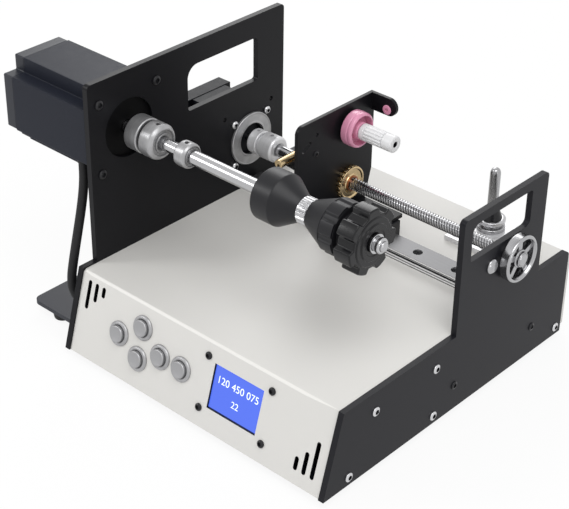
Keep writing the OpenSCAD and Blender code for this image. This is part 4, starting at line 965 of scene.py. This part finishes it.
class WINDER_OT_fasteners(bpy.types.Operator):
    """Socket head screws of the plates, motors, display and post plate"""

    bl_idname = "winder.fasteners"
    bl_label = "Screws"

    def execute(self, context):
        bars = on_plates([(5, -47), (26.7, -12.6), (82, -12.6), (82, -47), (209.5, -47)])
        outrigger = [facing(at(-PLATE_T - 3, y, -34.4), -X_AXIS) for y in (35, 90)]
        post = [Matrix.Translation(at(x, 188.6, 3.5)) for x in (146.12, 167.88)]
        traverse = [
            facing(at(0, TRAVERSE_Y + dy, TRAVERSE_Z + dz), X_AXIS)
            for dy, dz in quad(SMALL_PITCH, SMALL_PITCH)
        ]
        silver = joined(
            "silver_screw_set",
            screws("plate_screws", bars + outrigger, 6.0, 1.3, 0.8),
            screws("traverse_bolts", traverse, 5.4, 2.16),
            screws("post_plate_screws", post, 5.4, 1.3, 0.7),
        )
        dressed(silver, "base", "plated", "zinc", "silver_screws")

        darks = on_plates([(101.4, -35), (180.8, -32.4)])
        motor = [
            facing(at(0, SPINDLE_Y + dy, SPINDLE_Z + dz), X_AXIS)
            for dy, dz in quad(BIG_PITCH, BIG_PITCH)
        ]
        display = [on_panel(DISPLAY[0] + dx, DISPLAY[1] + dv) for dx, dv in quad(25.25, 16.9)]
        black = joined(
            "dark_screw_set",
            screws("dark_plate_screws", darks, 5.4, 1.0, 0.8),
            screws("motor_bolts", motor, 6.0, 1.5, 0.7),
            screws("display_screws", display, 4.86, 1.5, 0.7),
        )
        dressed(black, "base", "dark_steel", "black_steel", "black_screws")
        return {"FINISHED"}


class WINDER_OT_panel(bpy.types.Operator):
    """Display with plain digits and five push buttons"""

    bl_idname = "winder.panel"
    bl_label = "Control panel"

    def execute(self, context):
        dressed_node("lcd_module", 0.15, 2, "base", "moulded", "black_plastic")
        dressed_node("lcd_glass", 0.12, 2, "base", "display", "display")
        refinished("lcd_board", "board")

        rows = []
        for text, down, tall in (("120 450 075", -5.4, 6.6), ("22", 5.2, 6.0)):
            clear_picks()
            bpy.ops.object.text_add()
            line = bpy.context.object.data
            line.body, line.size, line.extrude = text, tall * MM, 0.04 * MM
            line.align_x, line.align_y = "CENTER", "CENTER"
            bpy.ops.object.convert(target="MESH")
            row = bpy.context.object
            row.matrix_world = on_panel(DISPLAY[0], DISPLAY[1] + down, -1.22)
            rows.append(baked(row))
        dressed(joined("display_digits", *rows), "base", "digits", "display", smooth=20)

        places = [(57.2, 15.5), (38.7, 27.2), (57.2, 36.2), (75, 27.2), (92.8, 27.2)]
        shell = lathe("button_shell", NOWHERE, [
            (-11.2, 0), (-11.2, 6.48), (-0.02, 6.48, 0), (0, 8, 0), (0.75, 8, 0.3),
            (1.5, 7.2, 0.3), (1.62, 6.2, 0.2), (1.3, 5.55, 0.1), (-9.5, 5.55), (-9.5, 0),
        ], ease=0.15, along=Z_AXIS, steps=48)
        shells = stamped("button_shells", shell, [on_panel(*p) for p in places])
        dressed(shells, "base", "aluminium", "button_metal", "button_housings")
        for i, place in enumerate(places, 1):
            body = "button_%d" % i
            cap = lathe("push_%s" % body, NOWHERE, [
                (-5.3, 0), (-5.3, 5.38), (3.1, 5.38, 0.3), (3.58, 4.9, 0.3), (3.45, 4.3, 0.2),
                (3.1, 2.6, 1.2), (2.95, 0),
            ], ease=0.25, along=Z_AXIS, steps=48)
            cap.matrix_world = on_panel(*place)
            dressed(cap, body, "button", "button_metal", "button_cap_%d" % i)
        return {"FINISHED"}


class WINDER_OT_motors(bpy.types.Operator):
    """Spindle motor and traverse motor behind the left plate"""

    bl_idname = "winder.motors"
    bl_label = "Motors"

    def execute(self, context):
        ease = context.scene.winder_sizes.motor_ease
        seats = {}
        for node, y, z, dy, dz in (
            ("spindle_motor_cap", SPINDLE_Y, SPINDLE_Z, BIG_PITCH, SMALL_PITCH),
            ("traverse_motor_body", TRAVERSE_Y, TRAVERSE_Z, SMALL_PITCH, SMALL_PITCH),
        ):
            seat = (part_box(node)[0].x - ORIGIN.x) / MM + 1.0
            seats[node] = [at(seat, y + a, z + b) for a, b in quad(dy, dz)]
        for node, finish in (
            # the pilot flange is near-black as painted shade
            ("spindle_motor_flange", "pit"),
            ("spindle_motor_body", "motor"),
            ("spindle_motor_cap", "motor_cast"),
            # the traverse motor takes the darker copy of the motor paint as painted shade
            ("traverse_motor_body", "small_motor"),
        ):
            part = softened(node, ease, 3)
            carve(part, *(prism("pocket", -2, 0, seat, 2.7, 24) for seat in seats.get(node, ())))
            dressed(part, "base", finish, "motor_black", node)
        rear = [facing(seat, -X_AXIS) for group in seats.values() for seat in group]
        dressed(screws("motor_rear_screws", rear, 4.6, 0.8, 0.9), "base", "plated", "zinc")
        return {"FINISHED"}


class WINDER_OT_spindle(bpy.types.Operator):
    """Coupling, shaft, stop collar and end nut on the spindle axis"""

    bl_idname = "winder.spindle"
    bl_label = "Spindle"

    def execute(self, context):
        # stations of the coupling: left hub, cushion, right hub
        first, joint, second, end = 6.5, 17.54, 19.46, 30.5
        dressed(lathe("spindle_rod", SPINDLE, [
            (second + 1.2, 0), (second + 1.2, 4), (46, 4, 0), (46, 4.5, 0.1), (195.9, 4.5, 0.1),
            (195.9, 3.1, 0.1), (201.9, 3.1), (202.5, 2.5, 0.2), (202.5, 0),
        ]), "spindle", "shaft", "steel", "spindle_shaft")
        dressed(lathe("motor_stub", SPINDLE, [
            (-40, 0), (-40, 4), (1.2, 4, 0), (1.2, 5.7), (2.7, 5.7), (2.7, 4, 0), (4.1, 4, 0),
            (4.1, 5.3), (5.4, 5.3), (5.4, 4, 0), (joint - 1.2, 4, 0.4), (joint - 1.2, 0),
        ]), "spindle", "shaft", "steel", "motor_shaft")

        dressed(lathe("coupling_left_hub", SPINDLE, [
            (first, 4.02), (first, 10.4, 0.5), (first + 0.9, 11.5, 0.6),
            (joint - 0.6, 11.5, 0.4), (joint, 10.9), (joint, 4.02),
        ], steps=80), "spindle", "aluminium", "alu", "coupling_motor_hub")
        dressed(
            ring("coupling_cushion", SPINDLE, joint, second, 9.9, 4.2, 0.2),
            "spindle", "rubber", "rubber", "coupling_spider",
        )
        right_hub = lathe("coupling_right_hub", SPINDLE, [
            (second, 4.02), (second, 10.9), (second + 0.6, 11.5, 0.5), (end - 2.2, 11.4, 1.2),
            (end - 0.3, 9.6, 0.8), (end, 8.6, 0.2), (end - 1.5, 8, 0.2), (end - 1.5, 6.6, 0.2),
            (end, 6.3, 0.2), (end, 5.4), (end - 1.2, 4.02),
        ], steps=80)
        carve(right_hub, set_hole(SPINDLE, second + 6.5, 14, 1.6))
        dressed(right_hub, "spindle", "aluminium", "alu", "coupling_spindle_hub")

        collar = lathe("stop_ring", SPINDLE, [
            (46, 4.52), (46, 7.2), (46.8, 8, 0.5), (53.6, 8, 0.6), (54.9, 7, 0.4),
            (55, 6.5, 0.1), (54, 6.1, 0.1), (54, 5.5, 0.1), (54.8, 5.2, 0.1), (54.8, 4.52),
        ])
        carve(collar, set_hole(SPINDLE, 50.5, 12, 1.5))
        dressed(collar, "spindle", "aluminium", "alu", "stop_collar")

        washer = ring("end_washer", SPINDLE, 195.74, 196.9, 5.9, 3.12, 0.3)
        nut = lathe("end_nut", SPINDLE, [
            (196.9, 3.12), (196.9, 3.9, 0.1), (198, 3.9, 0.1), (198.2, 4.7, 0.3),
            (200.4, 4.7, 0.6), (201.15, 4, 0.3), (201.15, 3.12),
        ], ease=0.2, steps=48)
        dressed(
            joined("spindle_end_set", washer, nut),
            "spindle", "nickel", "zinc", "spindle_end_nut",
        )
        return {"FINISHED"}


class WINDER_OT_cones(bpy.types.Operator):
    """Winding cones, clamp nut and star knob"""

    bl_idname = "winder.cones"
    bl_label = "Cones and knob"

    def execute(self, context):
        sizes = context.scene.winder_sizes
        dressed(lathe("sliding_cone_shell", SPINDLE, [
            (115.5, 4.62), (115.5, 14.6, 0.8), (116.6, 16, 1), (129.4, 16, 0.5), (143.5, 7.6),
            (143.58, 4.62),
        ], ease=0.4, arc=4, steps=96), "sliding_cone", "moulded", "black_plastic", "left_cone")

        ribs = toothed(
            "clamp_nut_ribs", 144.3, 150.6, SPINDLE, 8.5, sizes.knurl_ribs,
            per=4, low=0.9, share=0.62, ease=(0.14, 1), bore=(4.62, 40),
        )
        lips = [
            ring("nut_lip", SPINDLE, x0, x1, 8.0, 4.62)
            for x0, x1 in ((143.7, 144.5), (150.4, 151.1))
        ]
        dressed(
            joined("clamp_nut_ring", ribs, *lips),
            "clamp_nut", "nickel", "zinc", "knurled_nut",
        )

        taper = lathe("cone_taper", SPINDLE, [
            (151.2, 4.52), (151.2, 8.7), (152, 9.2, 0.4), (166.9, 15.7, 0.5), (167.2, 15.1, 0.2),
            (177.2, 15.1), (177.4, 11.5), (181.7, 11.5), (181.7, 4.52),
        ], steps=96)
        pads = toothed(
            "cone_pads", 167.5, 177.0, SPINDLE, 16.4, sizes.rim_pads,
            per=10, low=0.93, share=0.66, ease=(0.45, 2, 25), bore=(12.0, 48),
        )
        dressed(
            joined("fixed_cone", taper, pads),
            "spindle", "moulded", "black_plastic", "right_cone", smooth=30,
        )

        star = toothed(
            "knob_star", 182.0, 194.0, SPINDLE, 20.0, sizes.knob_lobes,
            per=12, low=0.83, share=0.52, ease=(0.9, 3, 20), bore=(10.5, 64), phase=0.5,
        )
        face = lathe("knob_face", SPINDLE, [
            (182.1, 4.62), (182.1, 11), (193.6, 11, 0), (194, 15.2, 0.2), (194.6, 14.4),
            (194.6, 11.6), (195.4, 11), (195.4, 8.2), (194.9, 7.8, 0.2), (194.9, 4.62),
        ], steps=72)
        dressed(
            joined("star_knob_body", star, face),
            "knob", "knob", "black_plastic", "star_knob", smooth=32,
        )
        return {"FINISHED"}


class WINDER_OT_traverse(bpy.types.Operator):
    """Pilot ring, coupling, lead screw, bearing, handwheel and dome screw"""

    bl_idname = "winder.traverse"
    bl_label = "Traverse drive"

    def execute(self, context):
        sizes = context.scene.winder_sizes
        dressed(lathe("pilot_ring_disc", TRAVERSE, [
            (0.02, 11), (0.02, 18.75, 0.1), (1.5, 18.75, 0.3), (2, 18.2, 0.3), (1.75, 17.4),
            (1.75, 12.6), (2, 12.1), (2, 11.2),
        ], ease=0.2, steps=80), "base", "aluminium", "alu", "pilot_ring")
        dressed(lathe("traverse_stub", TRAVERSE, [
            (-20, 0), (-20, 2.5), (12.6, 2.5, 0.3), (12.6, 0),
        ], ease=0.2, steps=40), "screw", "shaft", "steel", "traverse_motor_shaft")
        coupling = lathe("screw_coupling_body", TRAVERSE, [
            (4, 2.52), (4, 7.6, 0.4), (4.8, 8.45, 0.5), (11.4, 8.45, 0.4), (11.9, 7.4, 0.3),
            (11.95, 6.3, 0.1), (13.45, 6.3, 0.1), (13.5, 8.2, 0.3), (14.2, 9, 0.5),
            (24.8, 9, 0.7), (26, 7.9, 0.4), (26, 5.2, 0.3), (25.4, 4.02), (16.1, 4.02),
            (16.1, 2.52),
        ], ease=0.25)
        carve(coupling, set_hole(TRAVERSE, 20, 12, 1.4), set_hole(TRAVERSE, 8, 12, 1.3))
        # the coupling takes the lighter copy of the aluminium as painted light
        dressed(coupling, "screw", "bright", "alu", "screw_coupling")

        core_r = 4.0 - sizes.thread_depth
        begin, stop = 38.5, 206.5
        core = lathe("screw_core", TRAVERSE, [
            (16.1, 0), (16.1, 3.98), (38, 3.98, 0.3), (begin, core_r, 0.1), (stop, core_r, 0.1),
            (207, 3.98, 0.3), (222.3, 3.98, 0.3), (223, 3.2), (223, 0),
        ], ease=0.2, steps=48)
        ridges = []
        lead, starts = sizes.thread_lead, sizes.thread_starts
        pitch = lead / starts
        turns = int((stop - begin - pitch) / lead)
        for start in range(starts):
            clear_picks()
            bpy.ops.mesh.primitive_plane_add(size=1, rotation=(math.pi / 2, 0, 0))
            ridge = baked(named("thread_ridge"))
            for vertex in ridge.data.vertices:
                top = vertex.co.z > 0
                wide = pitch * (0.17 if top else 0.4)
                vertex.co.x = math.copysign(wide, vertex.co.x) * MM
                vertex.co.z = (4.0 if top else core_r - 0.15) * MM
            edit(ridge)
            bpy.ops.mesh.delete(type="ONLY_FACE")
            done()
            with_modifier(
                ridge,
                "SCREW",
                axis="X",
                angle=2 * math.pi,
                screw_offset=lead * MM,
                iterations=turns,
                steps=28,
                render_steps=28,
                use_normal_calculate=True,
            )
            edit(ridge)
            bpy.ops.mesh.fill_holes(sides=0)
            bpy.ops.mesh.normals_make_consistent(inside=False)
            done()
            ridge.location = TRAVERSE + X_AXIS * ((begin + 0.3 + pitch * (start + 0.5)) * MM)
            ridges.append(baked(ridge))
        dressed(
            joined("lead_screw_rod", core, *ridges),
            "screw", "screw_thread", "steel", "lead_screw", smooth=30,
        )

        dressed(lathe("bearing_ring", TRAVERSE, [
            (209.28, 4.15), (209.28, 8.9, 0.2), (210, 8.9, 0), (210, 8, 0), (214.5, 8, 0.2),
            (214.7, 7.4), (214.3, 6.9), (214.3, 5.2), (214.7, 4.9), (214.7, 4.15),
        ], ease=0.1, arc=2), "base", "plated", "steel", "screw_bearing")

        rim = lathe("wheel_rim", TRAVERSE, [
            (215.4, 12.9), (215.4, 14.5, 0.5), (216, 15.2, 0.6), (221.4, 15.2, 0.7),
            (222.3, 14.3, 0.5), (222.3, 13.3, 0.3), (220.6, 12.5), (217, 12.5),
        ], ease=0.4, steps=80)
        hub = lathe("wheel_hub", TRAVERSE, [
            (215.4, 4.02), (215.4, 6, 0.4), (220.4, 5.8, 0.5), (220.6, 4.9, 0.2),
            (222.3, 4.8, 0.5), (222.3, 4.02),
        ])
        low, high = Vector((-1.5, -1.95, 5.0)) * MM, Vector((1.1, 1.95, 13.4)) * MM
        clear_picks()
        bpy.ops.mesh.primitive_cube_add(size=1, location=(low + high) / 2, scale=high - low)
        spoke = soft_edges(baked(named("spoke")), 0.5)
        middle = Matrix.Translation(TRAVERSE + X_AXIS * (218.8 * MM))
        turns = [2 * math.pi * i / sizes.spokes for i in range(sizes.spokes)]
        spokes = stamped("spokes", spoke, [middle @ Matrix.Rotation(t, 4, "X") for t in turns])
        dressed(joined("handwheel_body", rim, hub, spokes), "screw", "steel", "alu", "handwheel")

        dressed(lathe("dome_bolt", at(0, 129.5, 36.5), [
            (208, 0), (208, 1.5), (214, 1.5, 0), (214, 4.8, 0.1), (215.1, 4.75, 0.9),
            (216.5, 3.2, 0.9), (216.88, 0),
        ], ease=0.5, arc=4, steps=48), "base", "steel", "zinc", "dome_screw")
        return {"FINISHED"}


class WINDER_OT_rail(bpy.types.Operator):
    """Linear rail, its screws and the carriage block"""

    bl_idname = "winder.rail"
    bl_label = "Rail"

    def execute(self, context):
        dressed_node("linear_rail", 0.25, 2, "base", "ground_rail", "steel")
        dressed_node("rail_screws", 0.12, 2, "base", "dark_steel", "black_steel")
        dressed_node("carriage_block", 0.5, 2, "carriage", "moulded", "black_plastic")
        return {"FINISHED"}


class WINDER_OT_carriage(bpy.types.Operator):
    """Carriage plate, lead nut, eyelet, finger and its plate"""

    bl_idname = "winder.carriage"
    bl_label = "Carriage"

    def execute(self, context):
        # the bracket takes the darker copy of the plate coat as painted shade
        dressed_node("carriage_bracket", 0.3, 2, "carriage", "shaded", "plate_black")
        foot = [Matrix.Translation(at(x, y, 16.25)) for x in (92, 110.5) for y in (140, 160)]
        heads = joined(
            "bracket_screw_set",
            screws("foot_screws", foot, 5.4, 1.3, 0.7),
            screws("finger_screw", [facing(at(85.5, 118.7, 67), X_AXIS)], 4.0, 0.7, 0.9),
        )
        dressed(heads, "carriage", "dark_steel", "zinc", "bracket_screws")

        body = ring("nut_barrel", TRAVERSE, 78.0, 85.5, 9.4, 4.5, 0.3)
        teeth = toothed(
            "nut_teeth", 85.5, 88.7, TRAVERSE, 11.5, 22,
            per=4, low=0.83, share=0.5, ease=(0.12, 1), bore=(8.0, 48),
        )
        flange = lathe("nut_flange", TRAVERSE, [
            (85.5, 4.5), (85.5, 9, 0), (88.6, 9.2, 0.1), (88.6, 11, 0.1), (88.8, 11.3, 0.1),
            (89.6, 11.3), (89.8, 10.7), (89.7, 10), (89, 9.5), (88.9, 6.4), (89.6, 6),
            (89.6, 4.5),
        ], ease=0.2, steps=72)
        dressed(
            joined("lead_nut_body", body, teeth, flange),
            "carriage", "brass", "brass", "lead_nut",
        )
        dressed(
            ring("nut_bush", TRAVERSE, 86.0, 90.4, 5.3, 4.12, 0.2, steps=48),
            "carriage", "copper", "brass",
        )

        dressed(lathe("eyelet_ring", at(98, 174, 82.5), [
            (-3.3, 1.3), (-3.3, 3.2, 0.35), (-2.55, 3.2, 0.1), (-2.5, 2.5, 0), (0, 2.5, 0),
            (0.05, 3.2, 0.1), (0.8, 3.2, 0.35), (0.8, 1.3, 0.4),
        ], along=Y_AXIS, steps=40), "carriage", "pink", "pink", "wire_eyelet")
        dressed_node("guide_finger", 0.2, 2, "carriage", "brass", "brass")
        dressed_node("finger_plate", 0.15, 2, "carriage", "plated", "silver_plate")
        return {"FINISHED"}


class WINDER_OT_guide(bpy.types.Operator):
    """Pink guide wheel and white nozzle"""

    bl_idname = "winder.guide"
    bl_label = "Wire guide"

    def execute(self, context):
        dressed(lathe("guide_wheel_shell", GUIDE, [
            (87.5, 3.2), (87.5, 10.8, 0.4), (88.2, 11.7, 0.6), (92.3, 11.75), (92.8, 11.5),
            (93.3, 11.5), (93.8, 11.7), (95.4, 11.5, 0.6), (96.3, 10.5, 0.4), (96.1, 9.7, 0.4),
            (91, 9.2, 0.4), (90.9, 6.2), (95.7, 5.6), (96.3, 4.9), (96.3, 3.2, 0.2),
        ], arc=4, steps=80), "wheel", "pink", "pink", "guide_wheel")
        dressed(
            ring("guide_wheel_bush", GUIDE, 94.2, 96.45, 4.5, 3.25, steps=48),
            "wheel", "white", "white",
        )

        tube = lathe("nozzle_tube", GUIDE, [
            (83, 0), (83, 3), (96.8, 3, 0), (96.8, 5.2, 0.4), (97.4, 5.5), (100.2, 5.5, 0.2),
            (100.5, 4.6, 0.1), (115, 4.6, 0.1), (115.4, 5.5), (122.2, 5.5, 0.6),
            (122.8, 4.7, 0.4), (122.8, 2.3, 0.2), (122.3, 1.85, 0.1), (102, 1.85), (102, 0),
        ], steps=56)
        ribs = toothed(
            "nozzle_ribs", 100.7, 114.6, GUIDE, 5.5, 14,
            per=4, low=0.84, share=0.5, ease=(0.15, 1), bore=(4.2, 40),
        )
        nozzle = joined("nozzle_body", tube, ribs)
        dressed(nozzle, "carriage", "white", "white", "guide_nozzle")
        # the nozzle's bore is near-black as painted shade
        faces_painted_light(nozzle, bored(GUIDE, 1.9, 101.0))
        return {"FINISHED"}


class WINDER_OT_post(bpy.types.Operator):
    """Spool post on its slotted plate"""

    bl_idname = "winder.post"
    bl_label = "Spool post"

    def execute(self, context):
        # the post plate takes the lighter copy of the aluminium as painted light
        dressed_node("post_plate", 0.3, 2, "base", "bright", "alu")
        dressed(lathe("post_pin", POST, [
            (3.5, 0), (3.5, 8.4, 0.2), (3.7, 9.4, 0.8), (6.1, 9.4, 1), (6.3, 7, 0.2),
            (7.4, 7, 0.1), (7.4, 3.3, 0.2), (18.8, 3.2, 0.1), (18.9, 3.5, 0.1), (44.6, 3.5, 1.2),
            (46.9, 2.6, 1), (48, 0),
        ], arc=5, along=Z_AXIS), "base", "post", "steel", "post_rod")
        dressed(lathe("post_ring", POST, [
            (7.6, 3.6), (7.6, 7, 0.1), (8.5, 7, 0.2), (8.6, 9.4, 0.9), (11.5, 9.4, 1.2),
            (11.6, 7.6), (11.6, 3.6),
        ], arc=4, along=Z_AXIS), "base", "nickel", "steel", "post_upper_ring")
        dressed(lathe("post_collar", POST, [
            (11.62, 3.6), (11.62, 7, 0.3), (17.8, 4.7, 0.8), (18.6, 4.2, 0.3), (18.6, 3.6),
        ], ease=0.4, along=Z_AXIS), "base", "dark_steel", "black_steel", "post_cone")
        return {"FINISHED"}


class WINDER_PT_parts(bpy.types.Panel):
    """Lists the operators that build the machine"""

    bl_label = "Coil winding machine"
    bl_idname = "WINDER_PT_parts"
    bl_space_type = "VIEW_3D"
    bl_region_type = "UI"
    bl_category = "Winder"

    def draw(self, context):
        column = self.layout.column()
        for operator in OPERATORS:
            column.operator(operator.bl_idname)
        for group in (context.scene.winder_sizes, context.scene.winder_colours):
            box = self.layout.box()
            for key in group.__annotations__:
                box.prop(group, key)


OPERATORS = (
    WINDER_OT_stage,
    WINDER_OT_cable,
    WINDER_OT_cabinet,
    WINDER_OT_fasteners,
    WINDER_OT_panel,
    WINDER_OT_motors,
    WINDER_OT_spindle,
    WINDER_OT_cones,
    WINDER_OT_traverse,
    WINDER_OT_rail,
    WINDER_OT_carriage,
    WINDER_OT_guide,
    WINDER_OT_post,
)
CLASSES = (WinderSizes, WinderColours, *OPERATORS, WINDER_PT_parts)


def register():
    """Adds the operators, the panel and the settings."""
    for cls in CLASSES:
        bpy.utils.register_class(cls)
    bpy.types.Scene.winder_sizes = bpy.props.PointerProperty(type=WinderSizes)
    bpy.types.Scene.winder_colours = bpy.props.PointerProperty(type=WinderColours)


def unregister():
    """Takes them away again."""
    del bpy.types.Scene.winder_colours
    del bpy.types.Scene.winder_sizes
    for cls in reversed(CLASSES):
        bpy.utils.unregister_class(cls)


def main():
    """Builds the whole machine."""
    register()
    make_finishes(bpy.context.scene.winder_colours)
    bpy.ops.winder.stage()
    bpy.ops.winder.cable()
    bpy.ops.winder.cabinet()
    bpy.ops.winder.fasteners()
    bpy.ops.winder.panel()
    bpy.ops.winder.motors()
    bpy.ops.winder.spindle()
    bpy.ops.winder.cones()
    bpy.ops.winder.traverse()
    bpy.ops.winder.rail()
    bpy.ops.winder.carriage()
    bpy.ops.winder.guide()
    bpy.ops.winder.post()
    clear_picks()


if __name__ == "__main__":
    main()
